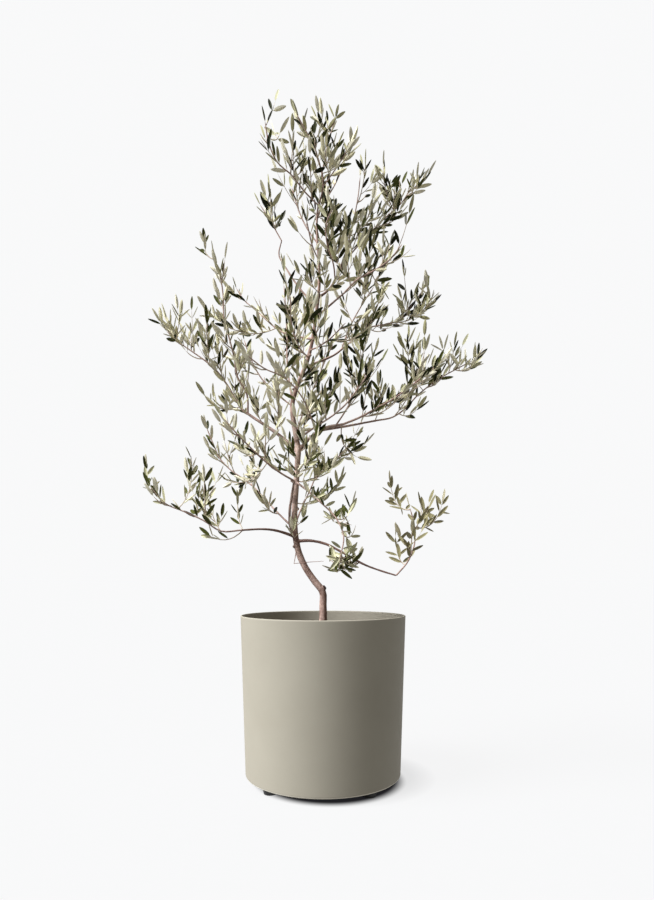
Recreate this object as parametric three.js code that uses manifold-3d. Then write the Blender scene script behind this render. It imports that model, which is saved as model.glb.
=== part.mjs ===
// A potted olive tree: a slim planter on four low feet, the soil in it, the trunk and its leader,
// the boughs, and the masses of foliage that the boughs carry.
// Millimetres, +Z up. The origin is on the floor, under the middle of the planter.
import * as THREE from 'three';
import { mergeVertices } from 'three/addons/utils/BufferGeometryUtils.js';
import Module from 'manifold-3d';

const wasm = await Module();
wasm.setup();

// Planter, feet and soil
const RIM_DIAMETER = 400;
const BASE_DIAMETER = 376;
const PLANTER_HEIGHT = 383;
const PLANTER_WALL = 4;
const PLANTER_FLOOR = 6;
const BASE_EDGE = 2.5;
const PLANTER_SIDES = 40;
const FOOT_HEIGHT = 17;
const FOOT_TOP_DIAMETER = 37;
const FOOT_SOLE_DIAMETER = 29;
const FOOT_CIRCLE_RADIUS = 159;
const FOOT_TURN = 41;
const FOOT_COUNT = 4;
const FOOT_SIDES = 12;
const SOIL_BELOW_RIM = 55;

// Clearance that neighbouring solids keep
const GAP = 0.3;

// Limbs: steps along their lines, sides of their sections, how fast they taper
const LIMB_STEP = 38;
const TRUNK_SIDES = 8;
const BOUGH_SIDES = 6;
const TAPER_POWER = 1.2;
const FLARE = 1.5;
const FLARE_HEIGHT = 30;

// Twigs: three-sided rods. A stem runs through each mass, and shoots stand off it
const TWIG_SIDES = 3;
const STEM_STEP = 46;
const STEM_TIP_DIAMETER = 3;
const SHOOT_DIAMETER = 3.4;
const SHOOT_TIP_DIAMETER = 2.2;
const SHOOT_BENDS = 2;
const SHOOT_SPACING = 66;
const SHOOT_SPACING_PLAY = 0.6;
const SHOOT_ANGLE = 55;
const SHOOT_ANGLE_SPREAD = 16;
const SHOOT_SHORTEST_SHARE = 0.5;
const SHOOT_LOSS_TO_TIP = 0.35;
const SHOOT_START = 20;
const SHOOT_BASE_LIFT = 0.35;
const SHOOT_TURNS = 4;
const GOLDEN_ANGLE = 137.5;

// Leaves: slim blades of eight faces, in pairs
const LEAF_LENGTH = 54;
const LEAF_WIDTH = 14;
const LEAF_THICKNESS = 2.2;
const LEAF_WIDEST = 0.48;
const LEAF_ANGLE = 42;
const LEAF_ANGLE_SPREAD = 18;
const LEAF_SHORTEST_SHARE = 0.8;
const LEAF_SPACING = 42;
const LEAF_START = 26;
const LEAF_END = 14;
const PAIR_TURN = 90;
const PAIR_TURN_SPREAD = 20;
const LEAF_SINK = 0.6;
const TIP_LEAF_SINK = 4;
const STEM_LEAVES_FROM = 0.6;
const LEAF_SEED_STEP = 100;

// Room that a twig or leaf keeps from the next mass and from the limbs
const MASS_MARGIN = 2.5;
const LIMB_MARGIN = 2;

const soilTop = FOOT_HEIGHT + PLANTER_HEIGHT - SOIL_BELOW_RIM;

// Each limb leaves the one it grows on at a distance along that one's line, and follows runs:
// length, compass heading (0 is +X, 90 is +Y) and rise above level, in degrees. Girths are diameters.
const limbs = {
  trunk: {
    girth: [18.5, 14],
    runs: [[80, 0, 90], [35, 115, 84], [35, 170, 50], [55, 160, 55], [50, 180, 75], [50, 240, 80],
      [55, 290, 79], [120, 305, 83]],
  },
  leader: {
    on: 'trunk',
    girth: [13.5, 4],
    runs: [[45, 165, 79], [50, 143, 78], [35, 70, 79], [110, 27, 68], [55, 0, 77], [100, 312, 78],
      [45, 292, 82], [120, 158, 86], [55, 68, 83], [55, 13, 71], [55, 206, 75]],
  },
  bough_low_left: {
    on: 'trunk', at: 265, girth: [8, 5],
    runs: [[25, 210, 18], [55, 216, 9], [64, 201, -5]],
  },
  bough_low_right: {
    on: 'trunk', at: 255, girth: [8, 4.4],
    runs: [[30, 338, 2], [50, 335, -11], [60, 332, -27], [60, 339, -29], [72, 343, -17]],
  },
  bough_fork_left: {
    on: 'trunk', at: 472, girth: [10, 7],
    runs: [[75, 155, 42], [85, 155, 34], [35, 157, 35]],
  },
  bough_fork_right: {
    on: 'trunk', at: 474, girth: [10, 6.5],
    runs: [[40, 351, 48], [40, 350, 34], [50, 348, 8]],
  },
  bough_right_low: {
    on: 'bough_fork_right', at: 78, girth: [6.5, 5],
    runs: [[50, 19, 12], [98, 22, 15]],
  },
  bough_crossing: {
    on: 'bough_fork_left', at: 30, girth: [6.5, 4.6],
    runs: [[42, 318, 20], [55, 317, 18]],
  },
  bough_mid_right: {
    on: 'leader', at: 215, girth: [7, 5],
    runs: [[54, 43, 29], [55, 38, 28], [47, 34, 41]],
  },
  bough_upper_right: {
    on: 'leader', at: 342, girth: [6, 4.6],
    runs: [[56, 312, 14], [42, 320, 20]],
  },
  bough_crown_right: {
    on: 'leader', at: 388, girth: [6.4, 5],
    runs: [[35, 30, 42], [33, 41, 53], [42, 42, 61]],
  },
  bough_upper_left: {
    on: 'leader', at: 366, girth: [5.2, 3.8],
    runs: [[62, 152, 48], [75, 152, 55], [60, 152, 62], [35, 28, 77]],
  },
  bough_left_high: {
    on: 'leader', at: 290, girth: [6, 4.6],
    runs: [[62, 130, 22], [63, 136, 25]],
  },
  bough_side_stem: {
    on: 'trunk', at: 258, girth: [8, 6],
    runs: [[48, 214, 64], [53, 292, 68], [49, 295, 66]],
  },
  bough_long_left: {
    on: 'trunk', at: 285, girth: [5.6, 4.2],
    runs: [[55, 149, 39], [70, 145, 42]],
  },
  bough_droop_right: {
    on: 'trunk', at: 400, girth: [5.6, 4.4],
    runs: [[71, 301, -27]],
  },
  bough_slim_right: {
    on: 'trunk', at: 288, girth: [5, 4],
    runs: [[52, 68, 55], [80, 56, 53]],
  },
  bough_back_left: {
    on: 'leader', at: 118, girth: [6.4, 5],
    runs: [[86, 100, 45]],
  },
  bough_back_right: {
    on: 'leader', at: 34, girth: [6.4, 5],
    runs: [[89, 82, 40]],
  },
};

// Each mass has one stem, which goes on from its bough's tip, or leaves a limb at a distance along it.
// shoot is the length of its longest shoots, and lift is how far they turn up to the light.
const masses = {
  leaves_low_left: {
    on: 'bough_low_left', girth: 4.6, shoot: 120, lift: 1.1, seed: 149,
    runs: [[56, 194, -4], [60, 190, 40], [42, 191, 13], [51, 190, 27], [30, 190, 59]],
  },
  leaves_low_right: {
    on: 'bough_low_right', girth: 4.2, shoot: 140, lift: 0.5, seed: 14,
    runs: [[58, 346, 50], [55, 340, 82], [55, 200, 74]],
  },
  leaves_fork_left: {
    on: 'bough_fork_left', girth: 6, shoot: 120, lift: 1, seed: 105,
    runs: [[53, 161, 55], [66, 163, 59], [71, 167, 42], [62, 171, 33], [58, 172, 42]],
  },
  leaves_feather: {
    on: 'bough_fork_left', at: 180, girth: 4.6, shoot: 90, lift: 0.6, seed: 101,
    runs: [[46, 270, 67], [48, 213, 56], [68, 236, 75], [66, 206, 70], [64, 266, 81], [66, 210, 78],
      [20, 190, 55]],
  },
  leaves_fork_right: {
    on: 'bough_fork_right', girth: 5.6, shoot: 130, lift: 1.1, seed: 115,
    runs: [[44, 343, 18], [34, 345, 25], [65, 346, 26], [71, 346, 36], [55, 351, 37]],
  },
  leaves_right_mid: {
    on: 'bough_fork_right', at: 112, girth: 4, shoot: 105, lift: 0.7, seed: 59,
    runs: [[70, 46, 50], [64, 38, 59], [62, 30, 61], [46, 16, 66]],
  },
  leaves_right_low: {
    on: 'bough_right_low', girth: 4.6, shoot: 115, lift: 1.1, seed: 107,
    runs: [[62, 19, 15], [81, 21, 48], [78, 14, 38], [100, 8, 29]],
  },
  leaves_crossing: {
    on: 'bough_crossing', girth: 4.2, shoot: 100, lift: 0.9, seed: 102,
    runs: [[41, 328, 22], [38, 333, 32], [42, 330, 44], [41, 337, 51]],
  },
  leaves_crossing_left: {
    on: 'bough_crossing', at: 86, girth: 4, shoot: 100, lift: 0.9, seed: 147,
    runs: [[59, 243, 49], [55, 220, 45], [48, 214, 21], [42, 209, 8], [33, 202, 37]],
  },
  leaves_mid_right: {
    on: 'bough_mid_right', girth: 4.6, shoot: 110, lift: 0.9, seed: 29,
    runs: [[50, 29, 42], [48, 20, 41], [42, 7, 12], [44, 353, 15], [63, 348, 51], [30, 344, 51]],
  },
  leaves_mid_inner: {
    on: 'bough_mid_right', at: 142, girth: 3.8, shoot: 100, lift: 0.7, seed: 20,
    runs: [[75, 50, 64], [75, 24, 61], [63, 17, 57]],
  },
  leaves_upper_right: {
    on: 'bough_upper_right', girth: 4.2, shoot: 100, lift: 0.9, seed: 51,
    runs: [[34, 321, 31], [49, 332, 14], [47, 335, 23], [39, 339, 46]],
  },
  leaves_crown_right: {
    on: 'bough_crown_right', girth: 4.6, shoot: 110, lift: 0.9, seed: 70,
    runs: [[46, 19, 58], [55, 13, 51], [78, 9, 48], [70, 4, 43], [50, 3, 58]],
  },
  leaves_crown_inner: {
    on: 'bough_crown_right', at: 84, girth: 4, shoot: 100, lift: 0.7, seed: 104,
    runs: [[77, 60, 58], [73, 46, 69], [68, 36, 76], [69, 20, 80], [32, 0, 85]],
  },
  leaves_crown_left: {
    on: 'bough_crown_right', at: 80, girth: 3.8, shoot: 95, lift: 0.8, seed: 50,
    runs: [[50, 262, 30], [50, 231, 50], [42, 283, 61], [26, 325, 49]],
  },
  leaves_upper_left: {
    on: 'bough_upper_left', girth: 3.6, shoot: 95, lift: 0.8, seed: 97,
    runs: [[51, 166, 61], [39, 169, 57], [24, 169, 64]],
  },
  leaves_top_left: {
    on: 'leader', at: 618, girth: 3.6, shoot: 95, lift: 0.8, seed: 99,
    runs: [[57, 206, 32], [37, 209, 43], [50, 198, 33], [48, 217, 70], [30, 223, 78]],
  },
  leaves_top_mid: {
    on: 'leader', girth: 3.8, shoot: 90, lift: 0.7, seed: 31,
    runs: [[54, 193, 71], [49, 198, 50], [20, 193, 66]],
  },
  leaves_top_high: {
    on: 'leader', at: 698, girth: 3.4, shoot: 90, lift: 0.7, seed: 147,
    runs: [[83, 66, 70], [77, 40, 73], [20, 21, 72]],
  },
  leaves_top_right: {
    on: 'leader', at: 665, girth: 3.4, shoot: 90, lift: 0.8, seed: 97,
    runs: [[56, 305, 15], [58, 322, 40]],
  },
  leaves_leader_left: {
    on: 'leader', at: 520, girth: 3.8, shoot: 95, lift: 0.7, seed: 104,
    runs: [[71, 142, 55], [64, 144, 67], [54, 142, 72]],
  },
  leaves_leader_back: {
    on: 'leader', at: 580, girth: 3.8, shoot: 95, lift: 0.7, seed: 136,
    runs: [[77, 78, 53], [78, 44, 56], [58, 26, 66]],
  },
  leaves_leader_front: {
    on: 'leader', at: 478, girth: 3.6, shoot: 95, lift: 0.8, seed: 39,
    runs: [[46, 255, 6], [37, 246, 26], [32, 259, 51]],
  },
  leaves_left_high: {
    on: 'bough_left_high', girth: 4.2, shoot: 110, lift: 0.9, seed: 2,
    runs: [[56, 139, 37], [61, 144, 45], [60, 154, 41], [50, 157, 56]],
  },
  leaves_inner_left: {
    on: 'leader', at: 108, girth: 4, shoot: 110, lift: 0.8, seed: 91,
    runs: [[72, 138, 36], [76, 141, 43], [71, 139, 58], [58, 140, 66]],
  },
  leaves_inner_right: {
    on: 'leader', at: 262, girth: 4, shoot: 100, lift: 0.8, seed: 90,
    runs: [[61, 297, -8], [49, 305, 6], [44, 312, 23]],
  },
  leaves_front_mid: {
    on: 'leader', at: 244, girth: 4, shoot: 100, lift: 0.8, seed: 86,
    runs: [[66, 257, -8], [62, 257, 8], [57, 263, 27], [41, 273, 42]],
  },
  leaves_side_stem: {
    on: 'bough_side_stem', girth: 4.8, shoot: 110, lift: 0.9, seed: 108,
    runs: [[63, 222, 19], [57, 218, 32], [56, 208, 40], [51, 196, 47]],
  },
  leaves_long_left: {
    on: 'bough_long_left', girth: 4, shoot: 100, lift: 0.9, seed: 59,
    runs: [[66, 149, 43], [54, 155, 30], [56, 159, 41], [68, 161, 64], [30, 165, 67]],
  },
  leaves_droop_right: {
    on: 'bough_droop_right', girth: 4, shoot: 75, lift: 0.2, seed: 3,
    runs: [[61, 321, -38], [46, 323, -42], [43, 327, -65], [48, 210, -80]],
  },
  leaves_slim_right: {
    on: 'bough_slim_right', girth: 3.8, shoot: 95, lift: 0.8, seed: 9,
    runs: [[63, 56, 55], [57, 32, 34], [58, 26, 39], [38, 24, 50]],
  },
  leaves_back_left: {
    on: 'bough_back_left', girth: 4.6, shoot: 110, lift: 0.7, seed: 48,
    runs: [[92, 102, 56], [89, 93, 63], [90, 100, 74], [78, 113, 78]],
  },
  leaves_back_right: {
    on: 'bough_back_right', girth: 4.6, shoot: 110, lift: 0.8, seed: 7,
    runs: [[89, 75, 46], [89, 65, 51], [79, 58, 58], [63, 41, 61]],
  },
};

const planterFinish = new THREE.MeshStandardMaterial({ color: 0x9f9a86, roughness: 0.62, metalness: 0 });
const footFinish = new THREE.MeshStandardMaterial({ color: 0x121212, roughness: 0.7, metalness: 0 });
const soilFinish = new THREE.MeshStandardMaterial({ color: 0x3a2f26, roughness: 0.95, metalness: 0 });
const barkFinish = new THREE.MeshStandardMaterial({ color: 0x8f7768, roughness: 0.85, metalness: 0 });
const leafFinish = new THREE.MeshStandardMaterial({ color: 0x8d9273, roughness: 0.55, metalness: 0 });

const tree = new THREE.Group();

function addMesh(name, geometry, finish) {
  const mesh = new THREE.Mesh(geometry, finish);
  mesh.name = name;
  tree.add(mesh);
  return mesh;
}

// Solids for cutting and joining, and back to geometry. Faces that close up to nothing at a rod's
// point are left out
function solidOf(geometry) {
  geometry.deleteAttribute('normal');
  geometry.deleteAttribute('uv');
  const merged = mergeVertices(geometry);
  const corners = merged.index.array;
  const triVerts = [];
  for (let i = 0; i < corners.length; i += 3) {
    const [a, b, c] = corners.slice(i, i + 3);
    if (a !== b && b !== c && c !== a) triVerts.push(a, b, c);
  }
  return new wasm.Manifold(new wasm.Mesh({
    numProp: 3,
    vertProperties: merged.attributes.position.array,
    triVerts: new Uint32Array(triVerts),
  }));
}

function geometryOf(solid) {
  const mesh = solid.getMesh();
  const geometry = new THREE.BufferGeometry();
  geometry.setAttribute('position', new THREE.BufferAttribute(mesh.vertProperties, 3));
  geometry.setIndex(new THREE.BufferAttribute(mesh.triVerts, 1));
  geometry.computeVertexNormals();
  return geometry;
}

// The largest body of a solid. Scraps and sealed hollows come out as smaller bodies, and are dropped
function mainBody(solid) {
  return solid.decompose().reduce((best, body) => (body.volume() > best.volume() ? body : best));
}

// Directions and lines
const UP = new THREE.Vector3(0, 0, 1);

function heading(compass, rise) {
  const level = Math.cos(THREE.MathUtils.degToRad(rise));
  const turn = THREE.MathUtils.degToRad(compass);
  return new THREE.Vector3(
    level * Math.cos(turn),
    level * Math.sin(turn),
    Math.sin(THREE.MathUtils.degToRad(rise)),
  );
}

// The way a limb points at a distance along its runs. It turns over half of the shorter run, on
// each side of a joint, and is halfway round at the joint itself
function wayAt(distance, runs) {
  let k = 0;
  let left = distance;
  while (k < runs.length - 1 && left > runs[k][0]) {
    left -= runs[k][0];
    k += 1;
  }
  const [length, compass, rise] = runs[k];
  const way = heading(compass, rise);
  const near = left < length / 2 ? k - 1 : k + 1;
  if (near < 0 || near >= runs.length) return way;
  const toJoint = left < length / 2 ? left : length - left;
  const reach = Math.min(length, runs[near][0]) / 2;
  if (toJoint >= reach) return way;
  const share = 0.5 * (1 - toJoint / reach);
  return way.lerp(heading(runs[near][1], runs[near][2]), share).normalize();
}

function walk(start, runs, step) {
  const length = runs.reduce((sum, run) => sum + run[0], 0);
  const count = Math.max(2, Math.round(length / step));
  const points = [start.clone()];
  for (let i = 0; i < count; i += 1) {
    const way = wayAt(((i + 0.5) * length) / count, runs);
    points.push(points[i].clone().addScaledVector(way, length / count));
  }
  return points;
}

function pointAlong(line, distance) {
  const k = Math.min(Math.floor(distance / line.step), line.points.length - 2);
  return line.points[k].clone().lerp(line.points[k + 1], distance / line.step - k);
}

function wayAlong(line, distance) {
  const k = Math.min(Math.floor(distance / line.step), line.points.length - 2);
  return line.points[k + 1].clone().sub(line.points[k]).normalize();
}

function radiusAt(line, share) {
  const [base, tip] = line.girth;
  return (tip + (base - tip) * (1 - share) ** TAPER_POWER) / 2;
}

// The radius of a twig, which ends in a point
function pointed(line, share) {
  return share === 1 ? 0 : radiusAt(line, share);
}

// A line holds its points, the step between them, its length and its girths. It starts inside the
// limb that it leaves, or a gap beyond that limb's tip
function lineOf(plan, lines, step) {
  const parent = lines[plan.on];
  let start = new THREE.Vector3(0, 0, soilTop + GAP);
  if (parent && plan.at === undefined) {
    const last = parent.points.length - 1;
    start = parent.points[last].clone().addScaledVector(wayAlong(parent, parent.length), GAP);
  } else if (parent) {
    start = pointAlong(parent, plan.at);
  }
  const points = walk(start, plan.runs, step);
  const length = plan.runs.reduce((sum, run) => sum + run[0], 0);
  return { points, length, step: length / (points.length - 1), girth: plan.girth };
}

// A rod along a line: a cylinder whose rings are set square to the line
function rod(line, sides, radiusOf) {
  const last = line.points.length - 1;
  const geometry = new THREE.CylinderGeometry(1, 1, last, sides, last);
  const position = geometry.attributes.position;
  const rings = [];
  let across = null;
  for (let i = 0; i <= last; i += 1) {
    const before = line.points[Math.max(i - 1, 0)];
    const after = line.points[Math.min(i + 1, last)];
    const way = after.clone().sub(before).normalize();
    if (!across) across = new THREE.Vector3(way.z, way.x, way.y);
    across = across.clone().addScaledVector(way, -across.dot(way)).normalize();
    rings.push({ way, across, up: across.clone().cross(way), radius: radiusOf(i / last) });
  }
  for (let v = 0; v < position.count; v += 1) {
    const i = Math.round(position.getY(v) + last / 2);
    const ring = rings[i];
    const point = line.points[i].clone()
      .addScaledVector(ring.across, position.getX(v) * ring.radius)
      .addScaledVector(ring.up, position.getZ(v) * ring.radius);
    position.setXYZ(v, point.x, point.y, point.z);
  }
  return solidOf(geometry);
}

// A leaf from its root: a slim octahedron, widest before its middle. The octahedron's own corners
// lie at -1, 0 and 1
function blade(root, way, side, length, width) {
  const geometry = new THREE.OctahedronGeometry(1);
  const position = geometry.attributes.position;
  const face = side.clone().cross(way);
  const stations = [-LEAF_SINK, length * LEAF_WIDEST, length];
  for (let v = 0; v < position.count; v += 1) {
    const point = root.clone()
      .addScaledVector(way, stations[Math.round(position.getY(v)) + 1])
      .addScaledVector(side, (position.getX(v) * width) / 2)
      .addScaledVector(face, (position.getZ(v) * LEAF_THICKNESS) / 2);
    position.setXYZ(v, point.x, point.y, point.z);
  }
  return solidOf(geometry);
}

// Planter: a thin wall that widens a little to its rim, with an eased foot edge, and a flat floor
function makePlanter() {
  const bottom = FOOT_HEIGHT;
  const top = FOOT_HEIGHT + PLANTER_HEIGHT;
  const lean = (RIM_DIAMETER - BASE_DIAMETER) / 2 / PLANTER_HEIGHT;
  const outerAt = (height) => BASE_DIAMETER / 2 + lean * (height - bottom);
  const floor = bottom + PLANTER_FLOOR;
  const lip = PLANTER_WALL / 4;
  const profile = [
    [0, bottom],
    [BASE_DIAMETER / 2 - BASE_EDGE, bottom],
    [outerAt(bottom + BASE_EDGE), bottom + BASE_EDGE],
    [outerAt(top - lip), top - lip],
    [outerAt(top) - lip, top],
    [outerAt(top) - PLANTER_WALL + lip, top],
    [outerAt(top - lip) - PLANTER_WALL, top - lip],
    [outerAt(floor) - PLANTER_WALL, floor],
    [0, floor],
  ];
  addMesh('planter', lathe(profile, PLANTER_SIDES), planterFinish);
  const soilBottom = floor + GAP;
  const soilRadius = (height) => outerAt(height) - PLANTER_WALL - 2 * GAP;
  addMesh('soil', lathe([
    [0, soilBottom],
    [soilRadius(soilBottom), soilBottom],
    [soilRadius(soilTop), soilTop],
    [0, soilTop],
  ], PLANTER_SIDES), soilFinish);
}

// A profile of radius and height, turned about the upright axis
function lathe(profile, sides) {
  const points = profile.map(([radius, height]) => new THREE.Vector2(radius, height));
  const geometry = new THREE.LatheGeometry(points, sides);
  geometry.rotateX(Math.PI / 2);
  return geometryOf(solidOf(geometry));
}

function makeFeet() {
  const height = FOOT_HEIGHT - GAP;
  for (let i = 0; i < FOOT_COUNT; i += 1) {
    const turn = THREE.MathUtils.degToRad(FOOT_TURN + (i * 360) / FOOT_COUNT);
    const radii = [FOOT_TOP_DIAMETER / 2, FOOT_SOLE_DIAMETER / 2];
    const shape = new THREE.CylinderGeometry(...radii, height, FOOT_SIDES);
    shape.rotateX(Math.PI / 2);
    const foot = addMesh(`foot_${i + 1}`, geometryOf(solidOf(shape)), footFinish);
    foot.position.set(Math.cos(turn), Math.sin(turn), 0).multiplyScalar(FOOT_CIRCLE_RADIUS);
    foot.position.z = height / 2;
  }
}

// Limbs: every one is cut clear of those made before it, so that its root fits against its parent
function makeLimbs(lines) {
  const made = [];
  for (const [name, plan] of Object.entries(limbs)) {
    const line = lineOf(plan, lines, LIMB_STEP);
    lines[name] = line;
    const sides = plan.on === undefined || name === 'leader' ? TRUNK_SIDES : BOUGH_SIDES;
    const radius = (share) => {
      const swell = name === 'trunk' ? Math.exp((-share * line.length) / FLARE_HEIGHT) : 0;
      return radiusAt(line, share) * (1 + (FLARE - 1) * swell);
    };
    let solid = rod(line, sides, radius);
    for (const other of made) solid = solid.subtract(other);
    addMesh(name, geometryOf(mainBody(solid)), barkFinish);
    const clearance = GAP / Math.cos(Math.PI / sides);
    made.push(rod(line, sides, (share) => radius(share) + clearance));
  }
  return made;
}

// Numbers from 0 to 1 in a fixed order for each seed
function dice(seed) {
  const SPREAD = 104729;
  const MULTIPLIER = 48271;
  const MODULUS = 2147483647;
  let state = seed * SPREAD;
  return () => {
    state = (state * MULTIPLIER) % MODULUS;
    return state / MODULUS;
  };
}

function distanceToLine(point, line) {
  let nearest = Infinity;
  let share = 0;
  for (let k = 0; k < line.points.length - 1; k += 1) {
    const segment = new THREE.Line3(line.points[k], line.points[k + 1]);
    const t = segment.closestPointToPointParameter(point, true);
    const distance = segment.at(t, new THREE.Vector3()).distanceTo(point);
    if (distance < nearest) {
      nearest = distance;
      share = (k + t) / (line.points.length - 1);
    }
  }
  return { nearest, share };
}

// Whether a point lies in a mass's own space: nearer to its stem than to any other stem, and clear
// of every limb
function inOwnSpace(point, name, stems, lines) {
  const own = distanceToLine(point, stems[name]).nearest;
  for (const [other, stem] of Object.entries(stems)) {
    if (other !== name && distanceToLine(point, stem).nearest < own + MASS_MARGIN) return false;
  }
  for (const line of Object.values(lines)) {
    const { nearest, share } = distanceToLine(point, line);
    if (nearest < radiusAt(line, share) + LIMB_MARGIN) return false;
  }
  return true;
}

// A pair of directions square to a way, the first of them level. A way that is all but upright
// takes +X for it
function squareTo(way) {
  const UPRIGHT = 0.05;
  const first = way.clone().cross(UP);
  if (first.length() < UPRIGHT) first.set(1, 0, 0);
  first.normalize();
  return [first, first.clone().cross(way)];
}

function around(way, turn) {
  const [first, second] = squareTo(way);
  const angle = THREE.MathUtils.degToRad(turn);
  return first.multiplyScalar(Math.cos(angle)).addScaledVector(second, Math.sin(angle));
}

// A shoot's line: off the stem at an angle, then turning up to the light
function shootLine(stem, distance, turn, angle, length, lift) {
  const root = pointAlong(stem, distance);
  const way = wayAlong(stem, distance);
  const lean = THREE.MathUtils.degToRad(angle);
  const first = way.clone().multiplyScalar(Math.cos(lean))
    .addScaledVector(around(way, turn), Math.sin(lean));
  const points = [root];
  for (let i = 0; i < SHOOT_BENDS; i += 1) {
    const share = (i + 0.5) / SHOOT_BENDS;
    const bent = first.clone().addScaledVector(UP, lift * (SHOOT_BASE_LIFT + share)).normalize();
    points.push(points[i].clone().addScaledVector(bent, length / SHOOT_BENDS));
  }
  return { points, length, step: length / SHOOT_BENDS, girth: [SHOOT_DIAMETER, SHOOT_TIP_DIAMETER] };
}

// Leaves in pairs along a line, each pair a quarter turn from the last, and one at the tip
function leavesAlong(line, from, draw, fits) {
  const blades = [];
  const tryLeaf = (root, way, side, scale) => {
    const length = LEAF_LENGTH * scale;
    const width = LEAF_WIDTH * scale;
    const middle = root.clone().addScaledVector(way, length * LEAF_WIDEST);
    const checks = [
      root.clone().addScaledVector(way, length),
      middle.clone().addScaledVector(side, width / 2),
      middle.clone().addScaledVector(side, -width / 2),
      root.clone().addScaledVector(way, length * LEAF_WIDEST / 2),
      root.clone().addScaledVector(way, length * (1 + LEAF_WIDEST) / 2),
    ];
    if (checks.every(fits)) blades.push(blade(root, way, side, length, width));
  };
  let pair = 0;
  for (let distance = from; distance < line.length - LEAF_END; distance += LEAF_SPACING) {
    const way = wayAlong(line, distance);
    const root = pointAlong(line, distance);
    const turn = pair * PAIR_TURN + PAIR_TURN_SPREAD * draw();
    for (const half of [0, 180]) {
      const out = around(way, turn + half);
      const angle = THREE.MathUtils.degToRad(LEAF_ANGLE + LEAF_ANGLE_SPREAD * (draw() - 0.5));
      const scale = LEAF_SHORTEST_SHARE + (1 - LEAF_SHORTEST_SHARE) * draw();
      const leafWay = way.clone().multiplyScalar(Math.cos(angle)).addScaledVector(out, Math.sin(angle));
      const side = out.clone().cross(way);
      tryLeaf(root, leafWay, side, scale);
    }
    pair += 1;
  }
  const tipWay = wayAlong(line, line.length);
  const tipRoot = pointAlong(line, line.length - TIP_LEAF_SINK);
  tryLeaf(tipRoot, tipWay, around(tipWay, pair * PAIR_TURN), 1);
  return blades;
}

// One mass: its stem, the shoots off the stem and the leaves on both, joined into one body
function makeMass(name, stems, lines, limbSolids) {
  const plan = masses[name];
  const stem = stems[name];
  const shootDraw = dice(plan.seed);
  const leafDraw = dice(plan.seed + LEAF_SEED_STEP);
  const fits = (point) => inOwnSpace(point, name, stems, lines);
  let solid = rod(stem, TWIG_SIDES, (share) => pointed(stem, share));
  const leaves = leavesAlong(stem, stem.length * STEM_LEAVES_FROM, leafDraw, fits);
  const count = Math.floor((stem.length - SHOOT_START) / SHOOT_SPACING);
  for (let i = 0; i < count; i += 1) {
    const distance = SHOOT_START + (i + SHOOT_SPACING_PLAY * shootDraw()) * SHOOT_SPACING;
    const share = SHOOT_SHORTEST_SHARE + (1 - SHOOT_SHORTEST_SHARE) * shootDraw();
    const angle = SHOOT_ANGLE + SHOOT_ANGLE_SPREAD * (shootDraw() - 0.5);
    const longest = plan.shoot * (1 - (SHOOT_LOSS_TO_TIP * distance) / stem.length);
    for (let turn = 0; turn < SHOOT_TURNS; turn += 1) {
      const side = i * GOLDEN_ANGLE + (turn * 360) / SHOOT_TURNS;
      const shoot = shootLine(stem, distance, side, angle, longest * share, plan.lift);
      if (shoot.points.slice(1).every(fits)) {
        solid = solid.add(rod(shoot, TWIG_SIDES, (along) => pointed(shoot, along)));
        leaves.push(...leavesAlong(shoot, LEAF_START, leafDraw, fits));
        break;
      }
    }
  }
  for (const leaf of leaves) solid = solid.add(leaf);
  for (const limb of limbSolids) solid = solid.subtract(limb);
  addMesh(name, geometryOf(mainBody(solid)), leafFinish);
}

makePlanter();
makeFeet();
const limbLines = {};
const limbSolids = makeLimbs(limbLines);
const stems = {};
for (const [name, plan] of Object.entries(masses)) {
  stems[name] = lineOf({ ...plan, girth: [plan.girth, STEM_TIP_DIAMETER] }, limbLines, STEM_STEP);
}
for (const name of Object.keys(masses)) makeMass(name, stems, limbLines, limbSolids);

export default tree;
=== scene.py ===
import math
from collections import namedtuple

import bmesh
import bpy
import numpy as np
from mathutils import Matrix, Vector, noise


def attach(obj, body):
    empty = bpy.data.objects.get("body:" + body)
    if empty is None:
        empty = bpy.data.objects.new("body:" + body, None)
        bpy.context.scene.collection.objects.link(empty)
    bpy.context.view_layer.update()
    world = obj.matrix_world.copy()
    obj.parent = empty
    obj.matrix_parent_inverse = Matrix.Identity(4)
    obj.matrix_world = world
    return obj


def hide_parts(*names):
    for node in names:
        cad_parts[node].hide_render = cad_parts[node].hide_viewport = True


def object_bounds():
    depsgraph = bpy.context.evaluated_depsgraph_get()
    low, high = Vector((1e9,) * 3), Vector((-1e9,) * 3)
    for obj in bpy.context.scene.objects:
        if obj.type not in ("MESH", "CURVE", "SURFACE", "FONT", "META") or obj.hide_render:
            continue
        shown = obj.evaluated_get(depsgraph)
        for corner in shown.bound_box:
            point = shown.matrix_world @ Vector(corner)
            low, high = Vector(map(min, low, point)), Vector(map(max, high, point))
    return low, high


# A young olive tree in a round planter on four low feet, in a pale studio. Metres, +Z up. The front
# is towards -Y, and the origin is on the floor, under the middle of the planter.

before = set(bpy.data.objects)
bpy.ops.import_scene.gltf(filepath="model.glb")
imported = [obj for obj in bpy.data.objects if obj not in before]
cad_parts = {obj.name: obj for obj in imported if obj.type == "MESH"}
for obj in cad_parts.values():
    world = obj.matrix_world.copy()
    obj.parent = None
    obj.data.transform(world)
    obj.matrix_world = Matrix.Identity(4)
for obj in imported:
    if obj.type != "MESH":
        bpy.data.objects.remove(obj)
cad_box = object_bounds()

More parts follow.
